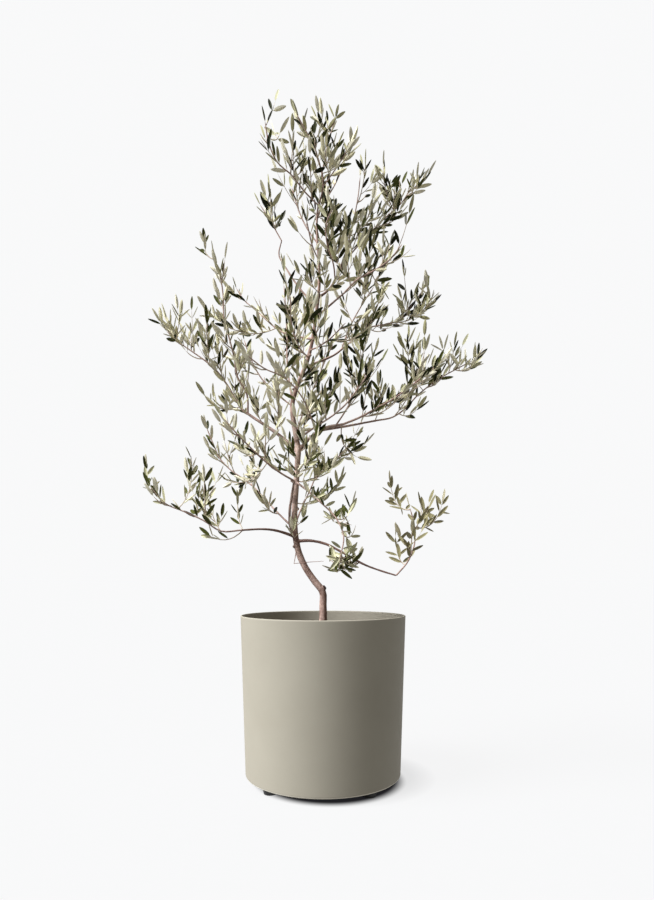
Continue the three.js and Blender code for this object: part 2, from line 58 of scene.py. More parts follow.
# Camera. A 24 mm lens at knee height, level, one and a half metres in front of the planter. The
# shift keeps the whole tree in the upright frame.
bpy.ops.object.camera_add(location=(0, -1.468, 0.489), rotation=(math.radians(90), 0, 0))
camera = bpy.context.object
camera.data.sensor_width = 36
camera.data.lens = 24
camera.data.shift_x = 0.0044
camera.data.shift_y = 0.1428
bpy.context.scene.camera = camera
bpy.context.scene.view_settings.view_transform = "Standard"

# Light. A broad lamp high at the front left, and a pale room all round that keeps the shade soft. The
# room lights the tree a little warmer and fainter than the camera sees it.
bpy.ops.object.light_add(type="SUN", rotation=(math.radians(38), 0, math.radians(-69)))
lamp = bpy.context.object
lamp.data.energy = 7.3
lamp.data.angle = math.radians(27)
lamp.data.color = (0.99, 0.993, 1.0)


class Wire:
    """A number, colour or vector on its way through a material, with sums written as Python."""

    def __init__(self, tree, socket):
        self.tree = tree
        self.socket = socket

    def node(self, kind, sockets=(), output=0, **settings):
        """Any node: its type, the values or wires of its sockets, and its settings."""
        made = self.tree.nodes.new(kind)
        for name, value in settings.items():
            setattr(made, name, value)
        for name, value in dict(sockets).items():
            if isinstance(value, Wire):
                self.tree.links.new(value.socket, made.inputs[name])
            else:
                made.inputs[name].default_value = value
        return Wire(self.tree, made.outputs[output])

    def math(self, operation, first, second):
        return self.node("ShaderNodeMath", {0: first, 1: second}, operation=operation)

    def __radd__(self, other):
        return self.math("ADD", self, other)

    def __rsub__(self, other):
        return self.math("SUBTRACT", other, self)

    def __mul__(self, other):
        return self.math("MULTIPLY", self, other)

    __rmul__ = __mul__

    def noise(self, scale, detail=3, roughness=0.5):
        sockets = {"Vector": self, "Scale": scale, "Detail": detail, "Roughness": roughness}
        return self.node("ShaderNodeTexNoise", sockets)

    def stretched(self, scale):
        return self.node("ShaderNodeMapping", {"Vector": self, "Scale": scale})

    def between(self, low, high, **settings):
        """0 at the low value, 1 at the high one, and in between on the way."""
        sockets = {"Value": self, "From Min": low, "From Max": high}
        return self.node("ShaderNodeMapRange", sockets, **settings)

    def distance(self, spot):
        sockets = {0: self, 1: spot}
        return self.node("ShaderNodeVectorMath", sockets, output=1, operation="DISTANCE")

    def height(self):
        return self.node("ShaderNodeSeparateXYZ", {"Vector": self}, output=2)

    def mix(self, first, second):
        """From the first colour to the second as this goes from 0 to 1."""
        sockets = {"Factor": self, 6: first, 7: second}
        return self.node("ShaderNodeMix", sockets, output=2, data_type="RGBA")


def feed(surface, socket, wire):
    wire.tree.links.new(wire.socket, surface.inputs[socket])


room = bpy.data.worlds.new("pale_room")
room.use_nodes = True
bpy.context.scene.world = room
ray = room.node_tree.nodes.new("ShaderNodeLightPath")
to_camera = Wire(room.node_tree, ray.outputs["Is Camera Ray"])
sky = room.node_tree.nodes["Background"]
feed(sky, "Color", to_camera.mix((1.0, 0.97, 0.9, 1), (0.993, 0.995, 1.0, 1)))
feed(sky, "Strength", 0.3 + 0.652 * to_camera)


# Floor. A seamless pale studio floor that glows a little, so that shadows on it stay light. The glow
# fades out under the planter in a painted contact shadow, and is dimmer beside it, on the side away
# from the lamp, in a fainter painted shadow.
def new_finish(name, **plain):
    """A material, its surface shader and a wire with the object's own coordinates."""
    finish = bpy.data.materials.new(name)
    finish.use_nodes = True
    surface = finish.node_tree.nodes["Principled BSDF"]
    for socket, value in plain.items():
        surface.inputs[socket.replace("_", " ")].default_value = value
    place = finish.node_tree.nodes.new("ShaderNodeTexCoord")
    return finish, surface, Wire(finish.node_tree, place.outputs["Object"])


def rough_to_touch(surface, height, distance):
    """A relief too fine to model, from a wire of heights and its depth in metres."""
    sockets = {"Height": height, "Distance": distance, "Strength": 1}
    feed(surface, "Normal", height.node("ShaderNodeBump", sockets))


floor_paint, floor_surface, floor_place = new_finish(
    "studio_floor", Roughness=0.9, Emission_Strength=0.905, Specular_IOR_Level=0
)
floor_grain = floor_place.noise(30, 2).mix((0.02, 0.021, 0.022, 1), (0.023, 0.024, 0.025, 1))
feed(floor_surface, "Base Color", floor_grain)
# Painted shadow: the floor's glow is darkened under the planter, and a little beside it away from the
# lamp.
from_planter = floor_place.distance((0.016, 0, 0))
out_of_shade = from_planter.between(0.155, 0.19, interpolation_type="SMOOTHSTEP")
painted_shadow_beside_planter = floor_place.distance((0.06, 0.03, 0)).between(0.22, 0.155)
in_light = out_of_shade * (1 - 0.16 * painted_shadow_beside_planter)
glow_and_painted_shadow = in_light.mix((0.01, 0.01, 0.013, 1), (0.9936, 0.9938, 0.9976, 1))
feed(floor_surface, "Emission Color", glow_and_painted_shadow)
bpy.ops.mesh.primitive_plane_add(size=400)
floor = bpy.context.object
floor.name = "studio_floor"
floor.data.materials.append(floor_paint)
floor.visible_diffuse = False


# Planter. A plain round tub of coated fibre and resin, a little wider at its rim, cast in one piece
# with a thin wall and eased edges. The finish is matt and grey-beige, faintly mottled, with a painted
# highlight along the bottom edge: a pale band for the light bounced up from the floor.
RIM_RADIUS = 0.200
BASE_RADIUS = 0.188
PLANTER_BOTTOM = 0.017
PLANTER_TOP = 0.400
PLANTER_WALL = 0.004
PLANTER_FLOOR = 0.006
RIM_EASE = 0.0015
BASE_EASE = 0.0028
BASE_BAND = 0.055
BASE_RECESS = 0.0018
RING_AT_BASE = 0.006
RING_AT_RIM = 0.004
SMALL = 0.0001


def new_cylinder(name, sides, radius, bottom, height, x=0, y=0):
    """An upright cylinder with its place in its mesh, and the object at the origin."""
    bpy.ops.object.select_all(action="DESELECT")
    bpy.ops.mesh.primitive_cylinder_add(
        vertices=sides, radius=radius, depth=height, location=(x, y, bottom + height / 2)
    )
    bpy.ops.object.transform_apply(location=True, rotation=True, scale=True)
    piece = bpy.context.object
    piece.name = piece.data.name = name
    return piece


def pick(piece, kind, height, beyond=0):
    """Selects, in edit mode, the level edges or faces at a height that lie beyond a radius."""
    bpy.ops.object.mode_set(mode="EDIT")
    bpy.ops.mesh.select_mode(type=kind)
    bpy.ops.mesh.select_all(action="DESELECT")
    shape = bmesh.from_edit_mesh(piece.data)
    for part in shape.edges if kind == "EDGE" else shape.faces:
        heights = [corner.co.z for corner in part.verts]
        level = max(heights) - min(heights) < SMALL and abs(heights[0] - height) < SMALL
        middle = sum((corner.co for corner in part.verts), Vector()) / len(part.verts)
        part.select_set(level and math.hypot(middle.x, middle.y) >= beyond)
    shape.select_flush_mode()
    bmesh.update_edit_mesh(piece.data)


def ease(piece, width, height, beyond=0):
    pick(piece, "EDGE", height, beyond)
    bpy.ops.mesh.bevel(offset=width, segments=3, affect="EDGES")


def widen(share, height, x=0, y=0):
    bpy.ops.transform.resize(value=(share, share, 1), center_override=(x, y, height))


def sink(rim, rise):
    """Moves the picked face up or down, but for a rim of it."""
    bpy.ops.mesh.inset(thickness=rim)
    bpy.ops.mesh.extrude_region_move(TRANSFORM_OT_translate={"value": (0, 0, rise)})


def smooth_but_edges():
    bpy.ops.object.mode_set(mode="OBJECT")
    bpy.ops.object.shade_smooth_by_angle(angle=math.radians(35))


height = PLANTER_TOP - PLANTER_BOTTOM
depth = height - PLANTER_FLOOR
planter = new_cylinder("planter_tub", 160, BASE_RADIUS, PLANTER_BOTTOM, height)
pick(planter, "FACE", PLANTER_TOP)
widen(RIM_RADIUS / BASE_RADIUS, PLANTER_TOP)
sink(PLANTER_WALL, -depth)
widen((BASE_RADIUS - PLANTER_WALL) / (RIM_RADIUS - PLANTER_WALL), PLANTER_TOP - depth)
pick(planter, "FACE", PLANTER_BOTTOM)
sink(BASE_BAND, BASE_RECESS)
ease(planter, RIM_EASE, PLANTER_TOP)
ease(planter, BASE_EASE, PLANTER_BOTTOM, beyond=0.95 * BASE_RADIUS)
for level in (PLANTER_BOTTOM + RING_AT_BASE, PLANTER_TOP - RING_AT_RIM):
    bpy.ops.mesh.select_all(action="SELECT")
    bpy.ops.mesh.bisect(plane_co=(0, 0, level), plane_no=(0, 0, 1))
smooth_but_edges()

tub_paint, tub_surface, tub_place = new_finish("tub_coating", Specular_IOR_Level=0.2)
mottle = tub_place.noise(7, 4, 0.6).between(0.35, 0.7)
tub_colour = mottle.mix((0.37, 0.347, 0.288, 1), (0.39, 0.367, 0.306, 1))
speckle = tub_place.noise(900, 2, 0.6).between(0.66, 0.74)
tub_colour = (speckle * 0.5).mix(tub_colour, (0.3, 0.275, 0.22, 1))
# Painted highlight: a pale band at the bottom edge for the floor's bounce light.
painted_bounce_highlight = tub_place.height().between(PLANTER_BOTTOM + 0.0034, PLANTER_BOTTOM + 0.0022)
feed(tub_surface, "Base Color", painted_bounce_highlight.mix(tub_colour, (0.86, 0.82, 0.72, 1)))
feed(tub_surface, "Roughness", 0.58 + 0.16 * tub_place.noise(60, 3))
rough_to_touch(tub_surface, tub_place.noise(700, 3, 0.6), 0.00006)
planter.data.materials.append(tub_paint)
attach(planter, "root")
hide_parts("planter")

# Feet. Four low studs of black moulded plastic, narrower at the sole, pushed into the tub's base. They
# keep it off the floor, so that it can drain.
FOOT_TOP_RADIUS = 0.0185
FOOT_SOLE_RADIUS = 0.0145
FOOT_HEIGHT = 0.017
FOOT_CIRCLE_RADIUS = 0.159
FOOT_TURN = 41
SOLE_BAND = 0.005
SOLE_RECESS = 0.002
SOLE_EASE = 0.0012

foot_plastic, foot_surface, foot_place = new_finish("foot_plastic", Roughness=0.5)
foot_tone = foot_place.noise(300, 3).mix((0.008, 0.008, 0.009, 1), (0.02, 0.02, 0.021, 1))
feed(foot_surface, "Base Color", foot_tone)
rough_to_touch(foot_surface, foot_place.noise(1500, 2), 0.00005)
for number in range(4):
    turn = math.radians(FOOT_TURN + 90 * number)
    x, y = FOOT_CIRCLE_RADIUS * math.cos(turn), FOOT_CIRCLE_RADIUS * math.sin(turn)
    foot = new_cylinder("stud_%d" % (number + 1), 40, FOOT_TOP_RADIUS, 0, FOOT_HEIGHT, x, y)
    pick(foot, "FACE", 0)
    widen(FOOT_SOLE_RADIUS / FOOT_TOP_RADIUS, 0, x, y)
    sink(SOLE_BAND, SOLE_RECESS)
    ease(foot, SOLE_EASE, 0)
    smooth_but_edges()
    foot.data.materials.append(foot_plastic)
    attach(foot, "root")
    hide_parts("foot_%d" % (number + 1))

# Soil. Potting soil to three fingers below the rim: dark crumbs and bark fibre, heaped a little round
# the trunk, with clods on top.
SOIL_TOP = 0.345
SOIL_RADIUS = 0.1936
SOIL_DEPTH = 0.04
SOIL_RINGS = 34
CRUMB_HEIGHT = 0.0022
CRUMB_SINK = 0.0015
HEAP_HEIGHT = 0.004
HEAP_SPREAD = 0.03
CLODS = 260
SMALLEST_CLOD = 0.0012
CLOD_SPREAD = 0.0035
CLOD_SINK = 0.0005
CLOD_SHAPE = (1, 0.7, 0.55)
CLEAR_OF_TRUNK = 0.018
CLEAR_OF_WALL = 0.008

soil = new_cylinder("potting_soil", 120, SOIL_RADIUS, SOIL_TOP - SOIL_DEPTH, SOIL_DEPTH)
pick(soil, "FACE", SOIL_TOP)
for ring in range(SOIL_RINGS - 1):
    bpy.ops.mesh.inset(thickness=SOIL_RADIUS / SOIL_RINGS)
bpy.ops.mesh.poke()
bpy.ops.object.mode_set(mode="OBJECT")
for corner in soil.data.vertices:
    radius = math.hypot(corner.co.x, corner.co.y)
    if corner.co.z > SOIL_TOP - SMALL and radius < SOIL_RADIUS - SMALL:
        crumbs = noise.fractal(corner.co * 90, 1.0, 2.0, 3, noise_basis="PERLIN_ORIGINAL")
        heap = HEAP_HEIGHT * math.exp(-radius / HEAP_SPREAD)
        corner.co.z += CRUMB_HEIGHT * crumbs + heap - CRUMB_SINK


def dice(seed):
    """Numbers from 0 to 1 in a fixed order for each seed."""
    spread, multiplier, modulus = 104729, 48271, 2147483647
    state = seed * spread
    while True:
        state = state * multiplier % modulus
        yield state / modulus


crumb_draw = dice(5)
clods = []
for _ in range(CLODS):
    reach = (SOIL_RADIUS - CLEAR_OF_WALL) * math.sqrt(next(crumb_draw))
    turn = 2 * math.pi * next(crumb_draw)
    radius = SMALLEST_CLOD + CLOD_SPREAD * next(crumb_draw) ** 3
    if reach < CLEAR_OF_TRUNK:
        continue
    bpy.ops.mesh.primitive_ico_sphere_add(
        subdivisions=1,
        radius=radius,
        location=(reach * math.cos(turn), reach * math.sin(turn), SOIL_TOP - CLOD_SINK),
        rotation=(6 * next(crumb_draw), 6 * next(crumb_draw), 0),
        scale=CLOD_SHAPE,
    )
    clods.append(bpy.context.object)
soil_tone, soil_surface, soil_place = new_finish("potting_soil", Roughness=0.95)
crumb_tone = soil_place.noise(220, 5, 0.7).between(0.3, 0.7)
feed(soil_surface, "Base Color", crumb_tone.mix((0.012, 0.008, 0.006, 1), (0.07, 0.048, 0.034, 1)))
rough_to_touch(soil_surface, soil_place.noise(500, 5, 0.7), 0.0012)
bpy.ops.object.select_all(action="DESELECT")
for piece in [soil, *clods]:
    piece.select_set(True)
bpy.context.view_layer.objects.active = soil
bpy.ops.object.join()
soil.data.materials.append(soil_tone)
bpy.ops.object.shade_smooth_by_angle(angle=math.radians(50))
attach(soil, "root")
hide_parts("soil")

# Trunk, leader and boughs. Live wood under thin grey-brown bark with fine furrows along the limbs,
# grown together at the forks and rooted in the soil. The tree's lengths are in millimetres.
MM = 0.001
CLEARANCE = 0.3
LIMB_STEP = 38
LIMB_DETAIL = 5
UNDER_SOIL = 4
TAPER_POWER = 1.2
FLARE = 1.5
FLARE_HEIGHT = 30
COLLAR = 0.35
COLLAR_LENGTH = 9
REMESH_SIZE = 0.00125
FURROW_DEPTH = 0.42
RIPPLE_DEPTH = 0.2
LUMP_DEPTH = 0.5
RELIEF_SINK = 0.1
UP = np.array([0.0, 0.0, 1.0])

# Each limb: the one it grows on, the distance along that (None: it goes on from the tip), its girths
# at base and tip, and its runs, each a length, a compass heading and a rise in degrees
limbs = {
    "trunk": (None, None, (18.5, 14), [
        (80, 0, 90), (35, 115, 84), (35, 170, 50), (55, 160, 55), (50, 180, 75), (50, 240, 80),
        (55, 290, 79), (120, 305, 83)]),
    "leader": ("trunk", None, (13.5, 4), [
        (45, 165, 79), (50, 143, 78), (35, 70, 79), (110, 27, 68), (55, 0, 77), (100, 312, 78),
        (45, 292, 82), (120, 158, 86), (55, 68, 83), (55, 13, 71), (55, 206, 75)]),
    "low_left": ("trunk", 265, (8, 5), [(25, 210, 18), (55, 216, 9), (64, 201, -5)]),
    "low_right": ("trunk", 255, (8, 4.4), [
        (30, 338, 2), (50, 335, -11), (60, 332, -27), (60, 339, -29), (72, 343, -17)]),
    "fork_left": ("trunk", 472, (10, 7), [(75, 155, 42), (85, 155, 34), (35, 157, 35)]),
    "fork_right": ("trunk", 474, (10, 6.5), [(40, 351, 48), (40, 350, 34), (50, 348, 8)]),
    "right_low": ("fork_right", 78, (6.5, 5), [(50, 19, 12), (98, 22, 15)]),
    "crossing": ("fork_left", 30, (6.5, 4.6), [(42, 318, 20), (55, 317, 18)]),
    "mid_right": ("leader", 215, (7, 5), [(54, 43, 29), (55, 38, 28), (47, 34, 41)]),
    "upper_right": ("leader", 342, (6, 4.6), [(56, 312, 14), (42, 320, 20)]),
    "crown_right": ("leader", 388, (6.4, 5), [(35, 30, 42), (33, 41, 53), (42, 42, 61)]),
    "upper_left": ("leader", 366, (5.2, 3.8), [
        (62, 152, 48), (75, 152, 55), (60, 152, 62), (35, 28, 77)]),
    "left_high": ("leader", 290, (6, 4.6), [(62, 130, 22), (63, 136, 25)]),
    "side_stem": ("trunk", 258, (8, 6), [(48, 214, 64), (53, 292, 68), (49, 295, 66)]),
    "long_left": ("trunk", 285, (5.6, 4.2), [(55, 149, 39), (70, 145, 42)]),
    "droop_right": ("trunk", 400, (5.6, 4.4), [(71, 301, -27)]),
    "slim_right": ("trunk", 288, (5, 4), [(52, 68, 55), (80, 56, 53)]),
    "back_left": ("leader", 118, (6.4, 5), [(86, 100, 45)]),
    "back_right": ("leader", 34, (6.4, 5), [(89, 82, 40)]),
}


def heading(compass, rise):
    level = math.cos(math.radians(rise))
    turn = math.radians(compass)
    return np.array([level * math.cos(turn), level * math.sin(turn), math.sin(math.radians(rise))])


def unit(way):
    return way / np.linalg.norm(way)


def way_at(distance, runs):
    """The way a limb points. It turns over half of the shorter run on each side of a joint."""
    k = 0
    left = distance
    while k < len(runs) - 1 and left > runs[k][0]:
        left -= runs[k][0]
        k += 1
    length, compass, rise = runs[k]
    way = heading(compass, rise)
    near = k - 1 if left < length / 2 else k + 1
    if near < 0 or near >= len(runs):
        return way
    to_joint = left if left < length / 2 else length - left
    reach = min(length, runs[near][0]) / 2
    if to_joint >= reach:
        return way
    share = 0.5 * (1 - to_joint / reach)
    return unit(way * (1 - share) + heading(*runs[near][1:]) * share)


class Line:
    """The middle line of a limb or twig: points a step apart, and its girths at base and tip."""

    def __init__(self, points, girth):
        self.points = np.array(points)
        self.step = float(np.linalg.norm(self.points[1] - self.points[0]))
        self.length = self.step * (len(self.points) - 1)
        self.girth = girth

    def at(self, distance):
        k = min(int(distance / self.step), len(self.points) - 2)
        share = distance / self.step - k
        return self.points[k] * (1 - share) + self.points[k + 1] * share

    def way(self, distance):
        k = min(int(distance / self.step), len(self.points) - 2)
        return unit(self.points[k + 1] - self.points[k])

    def radius(self, share):
        base, tip = self.girth
        return (tip + (base - tip) * (1 - share) ** TAPER_POWER) / 2

    def rounded(self, step):
        """The same line in finer steps, eased through its points, with a share for each point."""
        last = len(self.points) - 1
        ends = [2 * self.points[0] - self.points[1], 2 * self.points[-1] - self.points[-2]]
        held = np.array([ends[0], *self.points, ends[1]])
        count = max(2, round(self.length / step))
        points = []
        for i in range(count + 1):
            spot = i * last / count
            k = min(int(spot), last - 1)
            t = spot - k
            a, b, c, d = held[k:k + 4]
            points.append(
                0.5 * (2 * b + (c - a) * t + (2 * a - 5 * b + 4 * c - d) * t * t
                       + (3 * b - a - 3 * c + d) * t ** 3)
            )
        return points, [i / count for i in range(count + 1)]


def walk(start, runs, step):
    length = sum(run[0] for run in runs)
    count = max(2, round(length / step))
    points = [start]
    for i in range(count):
        points.append(points[-1] + way_at((i + 0.5) * length / count, runs) * length / count)
    return points


def line_of(on, at, girth, runs, step, grown):
    """A line from its plan and the lines that have grown before it."""
    if on is None:
        start = np.array([0.0, 0.0, SOIL_TOP / MM + CLEARANCE])
    elif at is None:
        start = grown[on].points[-1] + grown[on].way(grown[on].length) * CLEARANCE
    else:
        start = grown[on].at(at)
    return Line(walk(start, runs, step), girth)


lines = {}
for name, plan in limbs.items():
    lines[name] = line_of(*plan, LIMB_STEP, lines)


def add_tubes(name, tubes, resolution):
    """One mesh of round rods, each given as its points in millimetres and its radii."""
    bpy.ops.object.select_all(action="DESELECT")
    bpy.ops.curve.primitive_bezier_curve_add()
    rods = bpy.context.object
    rods.data.splines.clear()
    rods.data.dimensions = "3D"
    rods.data.bevel_depth = MM
    rods.data.bevel_resolution = resolution
    rods.data.use_fill_caps = True
    for points, radii in tubes:
        spline = rods.data.splines.new("POLY")
        spline.points.add(len(points) - 1)
        flat = np.ones((len(points), 4))
        flat[:, :3] = np.array(points) * MM
        spline.points.foreach_set("co", flat.ravel())
        spline.points.foreach_set("radius", radii)
    bpy.ops.object.convert(target="MESH")
    rods.name = rods.data.name = name
    return rods


def swelling(name, distance):
    """How much thicker a limb is at its foot: the trunk's root flare, or the collar of a bough."""
    if name == "trunk":
        return 1 + (FLARE - 1) * math.exp(-distance / FLARE_HEIGHT)
    return 1 if name == "leader" else 1 + COLLAR * math.exp(-distance / COLLAR_LENGTH)


tubes = []
for name, line in lines.items():
    points, shares = line.rounded(LIMB_DETAIL)
    radii = [line.radius(share) * swelling(name, share * line.length) for share in shares]
    if name == "trunk":
        points = [points[0] - UNDER_SOIL * UP, *points]
        radii = [radii[0], *radii]
    tubes.append((points, radii))

# A pruned stub and a few old knots, as short stout rods out of the bark: the limb, the distance along
# it, compass heading, rise, length and radius
knots = [
    ("trunk", 236, 200, 25, 7.0, 4.0), ("side_stem", 148, 190, 25, 6.0, 4.0),
    ("trunk", 330, 340, 25, 5.0, 3.6), ("leader", 150, 200, 25, 4.5, 3.2),
    ("leader", 245, 330, 25, 4.2, 3.0),
]


def knot_rod(name, distance, compass, rise, length, girth):
    """The points and radii of a knot, from inside its limb to its cut end."""
    line = lines[name]
    inside = line.at(distance)
    out = heading(compass, rise)
    radius = line.radius(distance / line.length)
    points = [inside, inside + out * (radius + length * 0.4), inside + out * (radius + length)]
    return points, [girth, girth, girth * 0.8]


stub = knot_rod("trunk", 116, 345, 42, 5, 6.2)
stub_cut = stub[0][-1]
tubes += [stub, *(knot_rod(*knot) for knot in knots)]
bark = add_tubes("trunk_and_boughs", tubes, 5)
remesh = bark.modifiers.new("grown_together", "REMESH")
remesh.mode = "VOXEL"
remesh.voxel_size = REMESH_SIZE
bpy.ops.object.modifier_apply(modifier=remesh.name)
ease_forks = bark.modifiers.new("eased_forks", "SMOOTH")
ease_forks.factor = 0.5
ease_forks.iterations = 3
bpy.ops.object.modifier_apply(modifier=ease_forks.name)

# Relief: furrows run along each limb, and ripple across it more slowly. Each point of the bark is
# measured from the stretch of limb next to it, some thousands of points at a time.
POINTS_AT_ONCE = 20000
stretches = []
for line in lines.values():
    whole = unit(line.points[-1] - line.points[0])
    side = unit(np.cross(whole, np.array([0.3, 1.0, 0.2])))
    for k, (start, end) in enumerate(zip(line.points[:-1], line.points[1:])):
        radii = [line.radius(part / (len(line.points) - 1)) for part in (k, k + 1)]
        row = (start, end - start, k * line.step, side, np.cross(side, whole), radii)
        stretches.append(row)
feet, spans, starts, across, over, thickness = [np.array(column) for column in zip(*stretches)]


def nearness(point, starts, spans):
    """How far a point is from each stretch of limb, and its place along each as a share."""
    away = point - starts
    share = np.clip((away * spans).sum(-1) / (spans ** 2).sum(-1), 0, 1)
    return np.linalg.norm(away - share[..., None] * spans, axis=-1), share


def read_points(mesh, name):
    values = np.empty(len(mesh.vertices) * 3)
    mesh.vertices.foreach_get(name, values)
    return values.reshape(-1, 3)


corners = read_points(bark.data, "co") / MM
normals = read_points(bark.data, "normal")
along = np.empty(len(corners))
round_limb = np.empty((len(corners), 2))
limb_radius = np.empty(len(corners))
for first in range(0, len(corners), POINTS_AT_ONCE):
    some = slice(first, first + POINTS_AT_ONCE)
    away, share = nearness(corners[some, None, :], feet, spans)
    nearest = away.argmin(axis=1)
    place = share[np.arange(len(nearest)), nearest]
    along[some] = starts[nearest] + place * np.linalg.norm(spans[nearest], axis=1)
    limb_radius[some] = thickness[nearest, 0] * (1 - place) + thickness[nearest, 1] * place
    round_limb[some, 0] = (normals[some] * across[nearest]).sum(1)
    round_limb[some, 1] = (normals[some] * over[nearest]).sum(1)
depth = np.empty(len(corners))
for k, (corner, (first, second), distance) in enumerate(zip(corners, round_limb, along)):
    furrow = noise.noise(Vector((first * 2.6, second * 2.6, distance / 17)))
    ripple = noise.noise(Vector((first * 1.1 + 7, second * 1.1, distance / 6)))
    lump = noise.noise(Vector(corner / 24))
    depth[k] = FURROW_DEPTH * abs(furrow) + RIPPLE_DEPTH * ripple + LUMP_DEPTH * lump - RELIEF_SINK
corners += normals * depth[:, None]
corners[:, 2] = np.maximum(corners[:, 2], SOIL_TOP / MM - UNDER_SOIL)
bark.data.vertices.foreach_set("co", (corners * MM).ravel())

# Marks for the colours: thin limbs are young and darker, most of all low down, and painted shade
# makes the side away from the lamp browner and darker, as well as the thick wood that leaves surround
height = corners[:, 2]
youth = np.clip((6.5 - limb_radius) / 2.5, 0, 1) * np.interp(height, [560, 680], [1, 0.38])
# Painted shade on the side of the limbs that faces away from the lamp
painted_shade_side = np.clip((normals @ unit(np.array([1.0, -0.45, 0.0])) - 0.4) / 0.4, 0, 1)
painted_shade_side *= np.interp(height, [460, 478, 860, 900], [1, 0.7, 0.7, 1])
# Painted shade on the thick wood inside the crown, where the leaves' shadow falls
painted_crown_shade = np.clip(limb_radius - 3.4, 0, 1) * np.interp(height, [860, 920], [0, 0.5])
painted_shade_side = np.maximum(painted_shade_side, painted_crown_shade)
marks = {"furrow": depth, "youth": youth, "painted_shade_side": painted_shade_side}
for mark, values in marks.items():
    bark.data.attributes.new(mark, "FLOAT", "POINT").data.foreach_set("value", values)
bark.data.update()
bpy.ops.object.shade_smooth()

bark_finish, bark_surface, bark_place = new_finish("olive_bark")
furrow_depth, is_young, in_painted_shade_side = [
    bark_place.node("ShaderNodeAttribute", output=2, attribute_name=mark) for mark in marks
]
patches = bark_place.noise(55, 4, 0.6).between(0.32, 0.68)
streaks = bark_place.stretched((420, 420, 60)).noise(1, 4, 0.65).between(0.35, 0.7)
# Painted light: the bark is paler from 0.55 m up to about 0.9 m, where the crown shades the trunk
painted_light_band = bark_place.height().between(0.55, 0.68) * bark_place.height().between(0.92, 0.86)
in_furrow = furrow_depth.between(0.1, -0.15)
on_cut = bark_place.distance(tuple(stub_cut * MM)).between(0.0078, 0.0062)
young_colour = patches.mix((0.141, 0.074, 0.059, 1), (0.263, 0.155, 0.13, 1))
bark_colour = patches.mix((0.364, 0.218, 0.168, 1), (0.586, 0.404, 0.345, 1))
# Over the bark's own colours go a painted light band on the trunk, and painted shade away from the lamp
# and inside the crown
for cover, colour in [
    (streaks, (0.667, 0.5, 0.443, 1)),
    (painted_light_band * 0.85, (0.828, 0.638, 0.576, 1)),
    (is_young, young_colour),
    (in_painted_shade_side * 0.75, (0.12, 0.05, 0.027, 1)),
    (in_furrow * 0.6, (0.121, 0.058, 0.041, 1)),
    (on_cut, (0.045, 0.018, 0.012, 1)),
]:
    bark_colour = cover.mix(bark_colour, colour)
feed(bark_surface, "Base Color", bark_colour)
feed(bark_surface, "Roughness", 0.72 + 0.2 * patches)
rough_to_touch(bark_surface, bark_place.stretched((1, 1, 0.35)).noise(800, 4, 0.6), 0.0005)
bark.data.materials.append(bark_finish)
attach(bark, "root")
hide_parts("trunk", "leader", *[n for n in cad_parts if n.startswith("bough_")])

# Twigs. Live wood with thin bark: each mass of foliage has one stem, which goes on from a limb. Shoots
# stand off the stem and turn up to the light, finer twigs stand off the shoots, and a twig that would
# leave the space of its own mass doesn't grow.
STEM_STEP = 46
STEM_TIP = 3
STEM_DETAIL = 12
SHOOT_DETAIL = 14
SHOOT_GIRTH = [3.4, 2.2]
SHOOT_SPACING = 66
SHOOT_SPACING_PLAY = 0.6
SHOOT_ANGLE = 55
SHOOT_ANGLE_SPREAD = 16
SHOOT_SHORTEST_SHARE = 0.5
SHOOT_LOSS_TO_TIP = 0.35
SHOOT_START = 20
SHOOT_BASE_LIFT = 0.35
SHOOT_TURNS = 4
GOLDEN_ANGLE = 137.5
UPRIGHT = 0.05
MASS_MARGIN = 2.5
LIMB_MARGIN = 2
STEM_LEAFLESS_SHARE = 0.3
SHOOT_LEAFLESS = 14
TWIG_GIRTH = [2.2, 1.3]
TWIG_SHORTEST_SHARE = 0.6
TWIG_TURN_PLAY = 70
TWIG_LEAFLESS = 11
TWIG_MARGIN = -60
EDGE = 2
SIDE_TWIG_PLACES = [0.2, 0.5]
SIDE_TWIG_SHARE = 0.75
SIDE_TWIG_ANGLE = 44
SIDE_TWIG_LIFT = 0.5
FILL_SHARE = 0.95
FILL_ANGLE = 50
FILL_END = 5
SPRIG_GIRTH = [3.0, 1.8]
SPRIG_LEAFLESS = 22
SPRIG_BOW = 0.18
SPRIG_CLIMB = 0.5
SPRIG_START = 20
SPRIG_SPACING = 24
SPRIG_TWIG_ANGLE = 48
SPRIG_TWIG_LIFT = 0.8
BROKEN_END = 0.35

